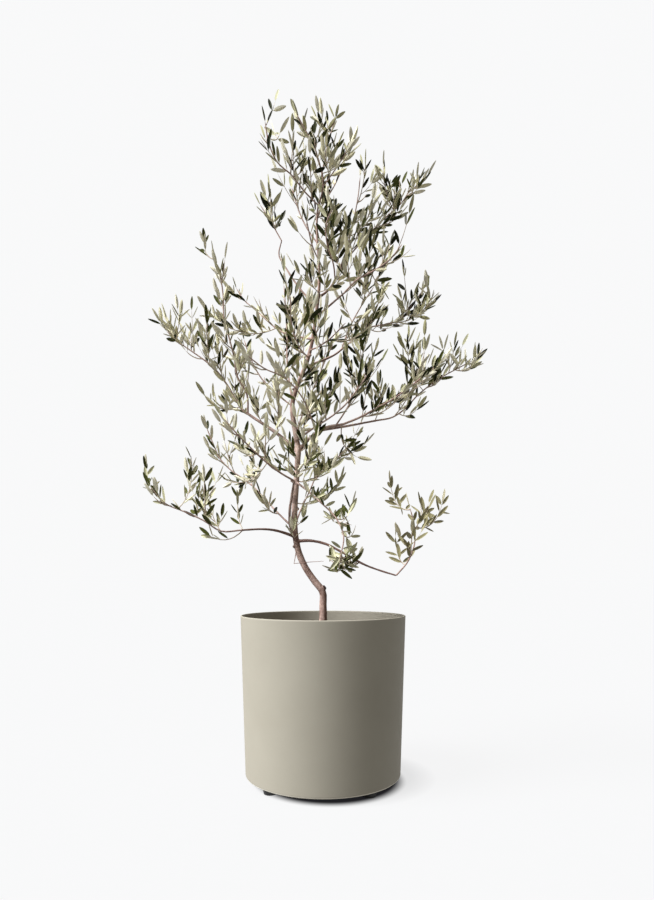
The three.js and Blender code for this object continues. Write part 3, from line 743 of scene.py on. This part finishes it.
# Each mass: the limb its stem grows on and the distance along it (None: it goes on from the tip), the
# stem's girth, the length and lift of the shoots, the seeds of the shoots and of the fine growth, how
# far apart the leaves stand, the twigs that fill the stem between two shoots, and the stem's runs
Mass = namedtuple("Mass", "name on at girth shoot lift seed fine open fill runs")
masses = [Mass(*row) for row in [
    ("low_left", "low_left", None, 4.6, 120, 1.1, 149, 69, 2, 0,
     [(56, 194, -4), (60, 190, 40), (42, 191, 13), (51, 190, 27), (30, 190, 59)]),
    ("low_right", "low_right", None, 4.2, 140, 0.5, 14, 65, 2, 0,
     [(58, 346, 50), (55, 340, 82), (55, 200, 74)]),
    ("fork_left", "fork_left", None, 6, 120, 1, 105, 22, 2, 2,
     [(53, 161, 55), (66, 163, 59), (71, 167, 42), (62, 171, 33), (58, 172, 42)]),
    ("feather", "fork_left", 180, 4.6, 90, 0.6, 101, 97, 2, 0,
     [(46, 270, 67), (48, 213, 56), (68, 236, 75), (66, 206, 70), (64, 266, 81), (66, 210, 78),
      (20, 190, 55)]),
    ("fork_right", "fork_right", None, 5.6, 130, 1.1, 115, 80, 2, 2,
     [(44, 343, 18), (34, 345, 25), (65, 346, 26), (71, 346, 36), (55, 351, 37)]),
    ("right_mid", "fork_right", 112, 4, 105, 0.7, 59, 82, 1.6, 0,
     [(70, 46, 50), (64, 38, 59), (62, 30, 61), (46, 16, 66)]),
    ("right_low", "right_low", None, 4.6, 115, 1.1, 107, 47, 2, 0,
     [(62, 19, 15), (81, 21, 48), (78, 14, 38), (100, 8, 29)]),
    ("crossing", "crossing", None, 4.2, 100, 0.9, 102, 37, 2, 1,
     [(41, 328, 22), (38, 333, 32), (42, 330, 44), (41, 337, 51)]),
    ("crossing_left", "crossing", 86, 4, 100, 0.9, 147, 8, 2, 0,
     [(59, 243, 49), (55, 220, 45), (48, 214, 21), (42, 209, 8), (33, 202, 37)]),
    ("mid_right", "mid_right", None, 4.6, 110, 0.9, 29, 32, 2, 2,
     [(50, 29, 42), (48, 20, 41), (42, 7, 12), (44, 353, 15), (63, 348, 51), (30, 344, 51)]),
    ("mid_inner", "mid_right", 142, 3.8, 100, 0.7, 20, 64, 2, 0,
     [(75, 50, 64), (75, 24, 61), (63, 17, 57)]),
    ("upper_right", "upper_right", None, 4.2, 100, 0.9, 51, 68, 2, 3,
     [(34, 321, 31), (49, 332, 14), (47, 335, 23), (39, 339, 46)]),
    ("crown_right", "crown_right", None, 4.6, 110, 0.9, 70, 38, 1.6, 2,
     [(46, 19, 58), (55, 13, 51), (78, 9, 48), (70, 4, 43), (50, 3, 58)]),
    ("crown_inner", "crown_right", 84, 4, 100, 0.7, 104, 25, 2, 0,
     [(77, 60, 58), (73, 46, 69), (68, 36, 76), (69, 20, 80), (32, 0, 85)]),
    ("crown_left", "crown_right", 80, 3.8, 95, 0.8, 50, 75, 1.25, 2,
     [(50, 262, 30), (50, 231, 50), (42, 283, 61), (26, 325, 49)]),
    ("upper_left", "upper_left", None, 3.6, 95, 0.8, 97, 97, 2, 0,
     [(51, 166, 61), (39, 169, 57), (24, 169, 64)]),
    ("top_left", "leader", 618, 3.6, 95, 0.8, 99, 44, 2, 2,
     [(57, 206, 32), (37, 209, 43), (50, 198, 33), (48, 217, 70), (30, 223, 78)]),
    ("top_mid", "leader", None, 3.8, 90, 0.7, 31, 60, 1, 0,
     [(54, 193, 71), (49, 198, 50), (20, 193, 66)]),
    ("top_high", "leader", 698, 3.4, 90, 0.7, 147, 45, 2, 1,
     [(83, 66, 70), (77, 40, 73), (20, 21, 72)]),
    ("top_right", "leader", 665, 3.4, 90, 0.8, 97, 39, 1, 0,
     [(56, 305, 15), (58, 322, 40)]),
    ("leader_left", "leader", 520, 3.8, 95, 0.7, 104, 92, 2, 1,
     [(71, 142, 55), (64, 144, 67), (54, 142, 72)]),
    ("leader_back", "leader", 580, 3.8, 95, 0.7, 136, 75, 1.25, 2,
     [(77, 78, 53), (78, 44, 56), (58, 26, 66)]),
    ("leader_front", "leader", 478, 3.6, 95, 0.8, 39, 21, 1.25, 0,
     [(46, 255, 6), (37, 246, 26), (32, 259, 51)]),
    ("left_high", "left_high", None, 4.2, 110, 0.9, 2, 48, 1.25, 0,
     [(56, 139, 37), (61, 144, 45), (60, 154, 41), (50, 157, 56)]),
    ("inner_left", "leader", 108, 4, 110, 0.8, 91, 75, 2, 0,
     [(72, 138, 36), (76, 141, 43), (71, 139, 58), (58, 140, 66)]),
    ("inner_right", "leader", 262, 4, 100, 0.8, 90, 72, 2, 1,
     [(61, 297, -8), (49, 305, 6), (44, 312, 23)]),
    ("front_mid", "leader", 244, 4, 100, 0.8, 86, 90, 1.25, 2,
     [(66, 257, -8), (62, 257, 8), (57, 263, 27), (41, 273, 42)]),
    ("side_stem", "side_stem", None, 4.8, 110, 0.9, 108, 65, 2, 0,
     [(63, 222, 19), (57, 218, 32), (56, 208, 40), (51, 196, 47)]),
    ("long_left", "long_left", None, 4, 100, 0.9, 59, 10, 1.6, 0,
     [(66, 149, 43), (54, 155, 30), (56, 159, 41), (68, 161, 64), (30, 165, 67)]),
    ("droop_right", "droop_right", None, 4, 75, 0.2, 3, 80, 2, 0,
     [(61, 321, -38), (46, 323, -42), (43, 327, -65), (48, 210, -80)]),
    ("slim_right", "slim_right", None, 3.8, 95, 0.8, 9, 62, 2, 3,
     [(63, 56, 55), (57, 32, 34), (58, 26, 39), (38, 24, 50)]),
    ("back_left", "back_left", None, 4.6, 110, 0.7, 48, 21, 2, 0,
     [(92, 102, 56), (89, 93, 63), (90, 100, 74), (78, 113, 78)]),
    ("back_right", "back_right", None, 4.6, 110, 0.8, 7, 44, 2, 0,
     [(89, 75, 46), (89, 65, 51), (79, 58, 58), (63, 41, 61)]),
]]

# Sprigs fill the crown between the masses. Each row: the limb, or the stem of leaves, that they grow
# on, and for each the place its tip reaches, the length of its side twigs, if it has any, and a seed
sprigs = [
    ("leader", (-10, -30, 1240, 40, 326), (50, -50, 1225, 55, 348), (-35, -50, 1215, 75, 173),
     (30, -50, 955, 25, 343), (-30, -70, 890, 40, 195)),
    ("trunk", (-60, -90, 770, 75, 274), (-15, -90, 800, 75, 394), (-75, -60, 800, 55, 324),
     (10, -60, 760, 75, 341), (40, -40, 720, 25, 245)),
    ("upper_right", (85, -60, 1225, 25, 300)),
    ("leaves_upper_right", (140, -60, 1175, 40, 384)),
    ("right_low", (140, 0, 965, 40, 264)),
    ("fork_left", (-165, -30, 935, 40, 188), (-105, -60, 960, 40, 122),
     (-215, -20, 935, 25, 163)),
    ("leaves_fork_left", (-285, 0, 1120, 25, 143), (-385, 10, 1125, 75, 299)),
    ("leaves_side_stem", (-225, -40, 720, 55, 138)),
    ("long_left", (-150, -20, 690, 25, 365)),
    ("low_left", (-270, -30, 590, 25, 134)),
    ("low_right", (60, -50, 510, 25, 113), (20, -40, 530, 40, 202)),
    ("leaves_low_right", (164, -10, 716, 0, 323), (288, -20, 670, 0, 324), (176, -10, 590, 0, 325)),
    ("leaves_right_low", (215, 40, 1090, 55, 238), (385, -20, 1045, 25, 245)),
    ("leaves_right_mid", (90, 0, 1060, 55, 100)),
    ("leaves_crown_right", (150, 30, 1520, 25, 212), (245, 40, 1480, 25, 171)),
    ("leaves_crown_inner", (105, 20, 1510, 40, 348)),
    ("leaves_left_high", (-290, 30, 1160, 25, 125)),
    ("leaves_low_left", (-431, -10, 757, 0, 401), (-318, -20, 785, 40, 333),
     (-300, -20, 690, 75, 328)),
    ("low_left", (-205, -20, 690, 0, 404)),
    ("leaves_top_left", (-105, -10, 1572, 55, 115)),
    ("leader", (-20, -20, 1560, 25, 349)),
    ("leaves_upper_left", (-130, 0, 1435, 40, 112)),
    ("leader", (75, -10, 1550, 25, 351)),
    ("leaves_crown_right", (262, 40, 1500, 25, 202)),
    ("leaves_crown_inner", (127, 20, 1425, 75, 134)),
    ("leaves_mid_inner", (115, 10, 1310, 40, 386)),
    ("leaves_mid_right", (274, 0, 1190, 55, 308)),
    ("leader", (-7, -60, 1112, 40, 177)),
    ("trunk", (-2, -60, 884, 25, 260)),
    ("leaves_right_low", (232, 0, 905, 25, 189)),
    ("low_right", (45, -50, 525, 25, 243), (75, -45, 520, 25, 419), (32, -50, 505, 40, 236)),
    ("leaves_feather", (-247, 10, 1240, 0, 421), (-288, -10, 1306, 0, 422)),
    ("trunk", (-48, -22, 636, 0, 427), (-74, -28, 604, 0, 428)),
    ("leaves_droop_right", (12, -35, 545, 0, 429), (30, -45, 505, 0, 430), (84, -35, 535, 0, 431),
     (72, -40, 570, 0, 432), (58, -45, 512, 0, 433), (69, -45, 663, 0, 441), (78, -45, 616, 0, 442),
     (26, -45, 628, 0, 443)),
    ("leader", (-44, -60, 990, 25, 172), (-15, -70, 1015, 40, 133)),
    ("leaves_mid_right", (140, -20, 1175, 25, 316)),
    ("leaves_side_stem", (-200, -30, 815, 55, 165)),
    ("leaves_top_left", (-45, -10, 1525, 25, 151)),
    ("leaves_fork_left", (-285, -20, 930, 25, 251)),
    ("fork_right", (80, -40, 778, 40, 192)),
]

# Openings of the crown as seen from the front: places on the plane of the trunk, and their radii
openings = [
    (71, 1447, 46), (-142, 1200, 44), (-190, 1590, 40), (-61, 1317, 26), (-81, 1420, 24),
    (-161, 1004, 22), (78, 1158, 28), (240, 1340, 36), (-330, 1030, 30), (164, 999, 24),
    (172, 868, 28), (-215, 608, 34), (-12, 571, 28), (-200, 1260, 30), (-100, 1605, 20),
    (178, 1505, 24), (-51, 1357, 20), (88, 650, 26), (25, 893, 14), (222, 898, 10), (5, 835, 16),
    (-305, 815, 24), (295, 1225, 26), (30, 1706, 22), (401, 1080, 14), (-352, 700, 16),
    (-400, 668, 16), (-245, 580, 18), (139, 1099, 16), (218, 1232, 16), (-215, 762, 16),
    (17, 806, 14), (78, 1251, 14), (90, 612, 12), (-64, 724, 17), (-65, 758, 18), (-66, 792, 18),
    (-66, 820, 16), (-81, 865, 13), (-83, 904, 13), (-71, 950, 13), (-49, 1009, 13),
    (-32, 1055, 13), (-22, 1126, 13),
]
EYE = np.array([0.0, -1468.0, 489.0])

stems = {
    mass.name: line_of(mass.on, mass.at, (mass.girth, STEM_TIP), mass.runs, STEM_STEP, lines)
    for mass in masses
}
stem_names = list(stems)


def spans_of(group):
    """The stretches of a group's lines: starts, spans, whose they are, place in the line, girths."""
    rows = [(start, end - start, number, (k, len(line.points) - 1), line.girth)
            for number, line in enumerate(group.values())
            for k, (start, end) in enumerate(zip(line.points[:-1], line.points[1:]))]
    return [np.array(column) for column in zip(*rows)]


stem_starts, stem_spans, stem_owners = spans_of(stems)[:3]
limb_starts, limb_spans, _, limb_places, limb_girths = spans_of(lines)


def is_clear(point):
    away, share = nearness(point, limb_starts, limb_spans)
    left = 1 - (limb_places[:, 0] + share) / limb_places[:, 1]
    base, tip = limb_girths.T
    radii = (tip + (base - tip) * np.maximum(left, 0) ** TAPER_POWER) / 2
    return bool((away >= radii + LIMB_MARGIN).all())


def in_own_space(point, name, margin=MASS_MARGIN):
    """Nearer to the mass's own stem than to any other stem, and clear of every limb."""
    away = nearness(point, stem_starts, stem_spans)[0]
    own = stem_owners == stem_names.index(name)
    if away[~own].min() < away[own].min() + margin:
        return False
    return is_clear(point)


def has_room(point, name):
    """Room for fine growth: about its own stem, inside the crown's reach and in no opening."""
    low, high = np.array(cad_box) / MM
    if (point < low + EDGE).any() or (point > high - EDGE).any():
        return False
    seen = EYE + (point - EYE) * EYE[1] / (EYE[1] - point[1])
    if any(math.hypot(seen[0] - x, seen[2] - z) < radius for x, z, radius in openings):
        return False
    return is_clear(point) if name is None else in_own_space(point, name, TWIG_MARGIN)


def around(way, turn):
    """A direction square to a way, turned about it. At no turn it is level where it can be."""
    first = np.cross(way, UP)
    first = np.array([1.0, 0.0, 0.0]) if np.linalg.norm(first) < UPRIGHT else unit(first)
    second = np.cross(first, way)
    angle = math.radians(turn)
    return first * math.cos(angle) + second * math.sin(angle)


def shoot_line(stem, distance, turn, angle, length, lift, bends, girth):
    root = stem.at(distance)
    way = stem.way(distance)
    lean = math.radians(angle)
    first = way * math.cos(lean) + around(way, turn) * math.sin(lean)
    points = [root]
    for i in range(bends):
        share = (i + 0.5) / bends
        points.append(points[-1] + unit(first + UP * lift * (SHOOT_BASE_LIFT + share)) * length / bends)
    return Line(points, girth)


class Spray:
    """Twigs that share one order of draws, with the distance at which the leaves of each begin."""

    def __init__(self, name, seed, openness=1.0, within=None):
        self.name, self.within, self.openness = name, within, openness
        self.draw = dice(seed)
        self.twigs = []

    def try_twig(self, carrier, distance, turn, angle, length, lift):
        side = turn + TWIG_TURN_PLAY * next(self.draw)
        reach = length * (TWIG_SHORTEST_SHARE + (1 - TWIG_SHORTEST_SHARE) * next(self.draw))
        line = shoot_line(carrier, distance, side, angle, reach, lift, 3, TWIG_GIRTH)
        if has_room(line.points[-1], self.within):
            self.twigs.append((line, TWIG_LEAFLESS))


def grow_mass(mass):
    """The stem of a mass, its shoots, and the fine twigs between them and on them."""
    stem = stems[mass.name]
    draw = dice(mass.seed)
    spray = Spray(mass.name, mass.fine, mass.open, mass.name)
    spray.twigs.append((stem, STEM_LEAFLESS_SHARE * stem.length))
    for i in range(int((stem.length - SHOOT_START) / SHOOT_SPACING)):
        distance = SHOOT_START + (i + SHOOT_SPACING_PLAY * next(draw)) * SHOOT_SPACING
        share = SHOOT_SHORTEST_SHARE + (1 - SHOOT_SHORTEST_SHARE) * next(draw)
        angle = SHOOT_ANGLE + SHOOT_ANGLE_SPREAD * (next(draw) - 0.5)
        longest = mass.shoot * (1 - SHOOT_LOSS_TO_TIP * distance / stem.length)
        for turn in range(SHOOT_TURNS):
            side = i * GOLDEN_ANGLE + turn * 360 / SHOOT_TURNS
            shape = (stem, distance, side, angle, longest * share, mass.lift)
            bent = shoot_line(*shape, 2, SHOOT_GIRTH)
            if all(in_own_space(point, mass.name) for point in bent.points[1:]):
                shoot = shoot_line(*shape, 4, SHOOT_GIRTH)
                spray.twigs.append((shoot, SHOOT_LEAFLESS))
                shape = (SIDE_TWIG_ANGLE, shoot.length * SIDE_TWIG_SHARE, SIDE_TWIG_LIFT)
                for twig, place in enumerate(SIDE_TWIG_PLACES):
                    spray.try_twig(shoot, shoot.length * place, twig * GOLDEN_ANGLE, *shape)
                break
        for fill in range(mass.fill):
            place = SHOOT_START + (i + 0.2 + (fill + 0.5) / mass.fill) * SHOOT_SPACING
            if place < stem.length - FILL_END:
                side = (i + 0.37 + 0.5 * fill) * GOLDEN_ANGLE
                spray.try_twig(stem, place, side, FILL_ANGLE, mass.shoot * FILL_SHARE, mass.lift)
    return spray


def grow_sprig(carrier, x, y, z, reach, seed):
    """A sprig from a limb or stem to its tip, sagging a little on the way, with fine twigs on it."""
    tip = np.array([x, y, z], dtype=float)
    spots = np.array([carrier.at(place) for place in np.linspace(0.05, 0.98, 60) * carrier.length])
    aim = tip - UP * SPRIG_CLIMB * np.linalg.norm(spots - tip, axis=1).min()
    root = spots[np.linalg.norm(spots - aim, axis=1).argmin()]
    length = np.linalg.norm(tip - root)
    lead = unit(tip - root)
    bow = SPRIG_BOW * length * unit(np.cross(np.cross(lead, UP), lead))
    shares = np.linspace(0, 1, max(3, round(length / 20)) + 1)[:, None]
    sprig = Line(root + (tip - root) * shares - bow * 4 * shares * (1 - shares), SPRIG_GIRTH)
    owner = stem_names[stem_owners[nearness(tip, stem_starts, stem_spans)[0].argmin()]]
    spray = Spray(owner, seed)
    spray.twigs.append((sprig, SPRIG_LEAFLESS))
    for twig in range(round(sprig.length / SPRIG_SPACING) - 1 if reach else 0):
        place = SPRIG_START + SPRIG_SPACING * twig
        longest = reach * (1 - 0.4 * place / sprig.length) * 1.1
        side = twig * GOLDEN_ANGLE
        spray.try_twig(sprig, place, side, SPRIG_TWIG_ANGLE, longest, SPRIG_TWIG_LIFT)
    return spray


carriers = {**lines, **{"leaves_" + name: stem for name, stem in stems.items()}}
sprays = [grow_mass(mass) for mass in masses]
sprays += [grow_sprig(carriers[name], *sprig) for name, *row in sprigs for sprig in row]


def tube_of(line, step):
    points, shares = line.rounded(step)
    radii = [line.radius(share) for share in shares]
    radii[-1] *= BROKEN_END
    return points, radii


# One dead twig hangs beside the trunk and has snapped to the right, across the front of it
dead_twig = [(-66, 6, 572), (-65, -10, 556), (-70, -18, 525), (-45, -19, 528), (2, -18, 531)]

wood_tubes = [tube_of(stem, STEM_DETAIL) for stem in stems.values()]
wood_tubes.append((dead_twig, [1.3, 1.3, 1.2, 1.0, 0.6]))
shoot_tubes = [tube_of(line, SHOOT_DETAIL) for spray in sprays for line, _ in spray.twigs
               if line not in stems.values()]

mass_nodes = ["leaves_" + name for name in stems]
for piece_name, tubes, resolution, finish_name, roughness, patch, darker, lighter, grain in [
    ("woody_stems", wood_tubes, 1, "twig_bark", 0.75, 70,
     (0.283, 0.166, 0.133, 1), (0.525, 0.38, 0.33, 1), 0.0003),
    ("young_shoots", shoot_tubes, 0, "young_shoot", 0.6, 40,
     (0.36, 0.26, 0.19, 1), (0.62, 0.54, 0.42, 1), 0.0002),
]:
    finish, surface, place = new_finish(finish_name, Roughness=roughness)
    feed(surface, "Base Color", place.noise(patch, 3).between(0.35, 0.65).mix(darker, lighter))
    rough_to_touch(surface, place.noise(900, 3), grain)
    twigs = add_tubes(piece_name, tubes, resolution)
    bpy.ops.object.shade_smooth()
    twigs.data.materials.append(finish)
    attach(twigs, "root")
    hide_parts(*mass_nodes)

# Leaves. Narrow leathery blades in opposite pairs, each pair a quarter turn from the last, folded a
# little along the midrib: dull green above, pale and scurfy beneath. Tones are dealt out to twigs, and
# about half the leaves of a twig have a tone of their own.
LEAF_LENGTH = 44
LEAF_WIDTH = 10.6
LEAF_SHORTEST_SHARE = 0.66
LEAF_ANGLE = 40
WIDE_LEAF_ANGLE = 60
LEAF_ANGLE_SPREAD = 36
LEAF_SPACING = 20
LEAF_ROLL = 236
LEAF_LIFT = 0.42
TONE_KEPT = 0.4
LEAFLESS_END = 3
END_LEAF_SCALE = 0.9
LEAF_FOLD = 0.48
LEAF_CURL = 0.07
LEAF_BACK = 0.35
LEAF_SPACING_PLAY = 0.3
PAIR_TURN = 90
PAIR_TURN_SPREAD = 30
STATIONS = [0.1, 0.24, 0.5, 0.76, 0.93]
HALF_WIDTHS = [0.14, 0.76, 1.0, 0.82, 0.4]

# Habits of the sprays: leaf angle, lift, roll, darkest tone, one past the lightest, and where the tops
# look, if not along the twig and up. A spray with none of its own has the first.
usual = (LEAF_ANGLE, LEAF_LIFT, LEAF_ROLL)
habits = {
    "": (*usual, 0, 4, (0, -0.5, 0.6)),
    "low_left": (LEAF_ANGLE, LEAF_LIFT, 200, 2, 4, (-0.3, -1, 0.5)),
    "low_right": (WIDE_LEAF_ANGLE, LEAF_LIFT, 110, 4, 5, (-0.2, -1, 0.2)),
    "droop_right": (WIDE_LEAF_ANGLE, 0.8, 150, 2, 4, (0, -1, 0.3)),
}
for name in "fork_left left_high long_left side_stem crossing_left feather inner_left".split():
    habits[name] = (*usual, 1, 4, None)

upper_tones = [
    (0.008, 0.011, 0.0015), (0.02, 0.026, 0.005), (0.07, 0.079, 0.018), (0.53, 0.522, 0.35),
    (0.3, 0.275, 0.155),
]
under_tones = [
    (0.43, 0.415, 0.235), (0.81, 0.775, 0.55), (0.89, 0.86, 0.7), (0.86, 0.828, 0.66),
    (0.62, 0.575, 0.41),
]
leaf_finishes = []
for number, tone in enumerate(upper_tones + under_tones):
    top = number < len(upper_tones)
    side = "top" if top else "under"
    finish, surface, place = new_finish(
        "leaf_%s_%d" % (side, number % len(upper_tones) + 1),
        Specular_IOR_Level=0.14, Specular_Tint=(1, 0.95, 0.7, 1)
    )
    lighter, darker = [(*(part * share for part in tone), 1) for share in (1.22, 0.8)]
    feed(surface, "Base Color", place.noise(38, 3).between(0.33, 0.67).mix(darker, lighter))
    feed(surface, "Roughness", (0.42 if top else 0.66) + 0.14 * place.noise(260, 2))
    rough_to_touch(surface, place.noise(500, 2), 0.0002)
    leaf_finishes.append(finish)


def grow_leaves(spray):
    """Leaves in pairs along the twigs of a spray, and one at the tip of each, where there is room."""
    grown = []
    draw = spray.draw
    leaf_angle, lift, most_roll, darkest, past_lightest, faced = habits.get(spray.name, habits[""])
    choice = past_lightest - darkest
    for twig, start in spray.twigs:
        twig_tone = darkest + int(next(draw) * choice)
        pair = 0
        distance = start
        while distance < twig.length - LEAFLESS_END:
            way = twig.way(distance)
            root = twig.at(distance)
            turn = pair * PAIR_TURN + PAIR_TURN_SPREAD * next(draw)
            for half in (0, 180):
                out = around(way, turn + half)
                angle = math.radians(leaf_angle + LEAF_ANGLE_SPREAD * (next(draw) - 0.5))
                scale = LEAF_SHORTEST_SHARE + (1 - LEAF_SHORTEST_SHARE) * next(draw)
                leaf_way = unit(way * math.cos(angle) + out * math.sin(angle) + lift * UP)
                roll = math.radians(most_roll) * (next(draw) - 0.5)
                tone = twig_tone if next(draw) < TONE_KEPT else darkest + int(next(draw) * choice)
                if has_room(root + leaf_way * LEAF_LENGTH * scale, spray.within):
                    looks = way + UP if faced is None else np.array(faced, dtype=float)
                    grown.append((root, leaf_way, looks, roll, scale, tone, spray.name))
            pair += 1
            play = 1 + LEAF_SPACING_PLAY * (next(draw) - 0.5)
            distance += LEAF_SPACING * spray.openness * play
        way = twig.way(twig.length)
        root = twig.at(twig.length) - way
        leaf_way = unit(way + lift * UP)
        if has_room(root + leaf_way * LEAF_LENGTH * END_LEAF_SCALE, spray.within):
            looks = around(way, 40 * pair)
            grown.append((root, leaf_way, looks, 0, END_LEAF_SCALE, twig_tone, spray.name))
    return grown


leaves = [leaf for spray in sprays for leaf in grow_leaves(spray)]
roots, ways, tops, rolls, scales, tones, owners = [np.array(column) for column in zip(*leaves)]
rolls, scales = rolls[:, None], scales[:, None]
tops = tops - (tops * ways).sum(1)[:, None] * ways
tops /= np.linalg.norm(tops, axis=1)[:, None]
sides = np.cross(ways, tops)
tops, sides = tops * np.cos(rolls) + sides * np.sin(rolls), sides * np.cos(rolls) - tops * np.sin(rolls)


def leaf_points(along, across, lift):
    """One point of every leaf, from shares of its length and half width."""
    reach = LEAF_LENGTH * scales
    rise = lift * scales - LEAF_CURL * reach * along ** 2
    return roots + ways * reach * along + sides * across * LEAF_WIDTH / 2 * scales + tops * rise


rings = [leaf_points(0, 0, 0)]
for station, half_width in zip(STATIONS, HALF_WIDTHS):
    fold = LEAF_FOLD * half_width * LEAF_WIDTH / 2
    for across, lift in [(-half_width, 0), (0, -fold), (half_width, 0), (0, -fold - LEAF_BACK)]:
        rings.append(leaf_points(station, across, lift))
rings.append(leaf_points(1, 0, 0))
leaf_corners = np.stack(rings, axis=1)

top_faces = [(0, 2, 1), (0, 3, 2)]
under_faces = [(0, 1, 4), (0, 4, 3)]
for ring in range(len(STATIONS) - 1):
    left, rib, right, back = range(1 + 4 * ring, 5 + 4 * ring)
    top_faces += [(left, rib, rib + 4, left + 4), (rib, right, right + 4, rib + 4)]
    under_faces += [(left, left + 4, back + 4, back), (back, back + 4, right + 4, right)]
left, rib, right, back = range(4 * len(STATIONS) - 3, 4 * len(STATIONS) + 1)
top_faces += [(left, rib, back + 1), (rib, right, back + 1)]
under_faces += [(left, back + 1, back), (back, back + 1, right)]

for piece_name, low, high in [
    ("leaves_lower", 0, 1000), ("leaves_middle", 1000, 1250), ("leaves_upper", 1250, 2000)
]:
    names = [name for name, stem in stems.items() if low <= stem.at(stem.length / 2)[2] < high]
    nodes = ["leaves_" + name for name in names]
    chosen = np.flatnonzero(np.isin(owners, names))
    count = leaf_corners.shape[1]
    corners = (leaf_corners[chosen] * MM).reshape(-1, 3)
    faces = [[count * number + corner for corner in face]
             for number in range(len(chosen)) for face in top_faces + under_faces]
    shape = bpy.data.meshes.new(piece_name)
    shape.from_pydata(corners.tolist(), [], faces)
    for finish in leaf_finishes:
        shape.materials.append(finish)
    per_leaf = np.array([0] * len(top_faces) + [len(upper_tones)] * len(under_faces))
    shape.polygons.foreach_set("material_index", (tones[chosen][:, None] + per_leaf[None]).ravel())
    foliage = bpy.data.objects.new(piece_name, shape)
    bpy.context.scene.collection.objects.link(foliage)
    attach(foliage, "root")
    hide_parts(*nodes)
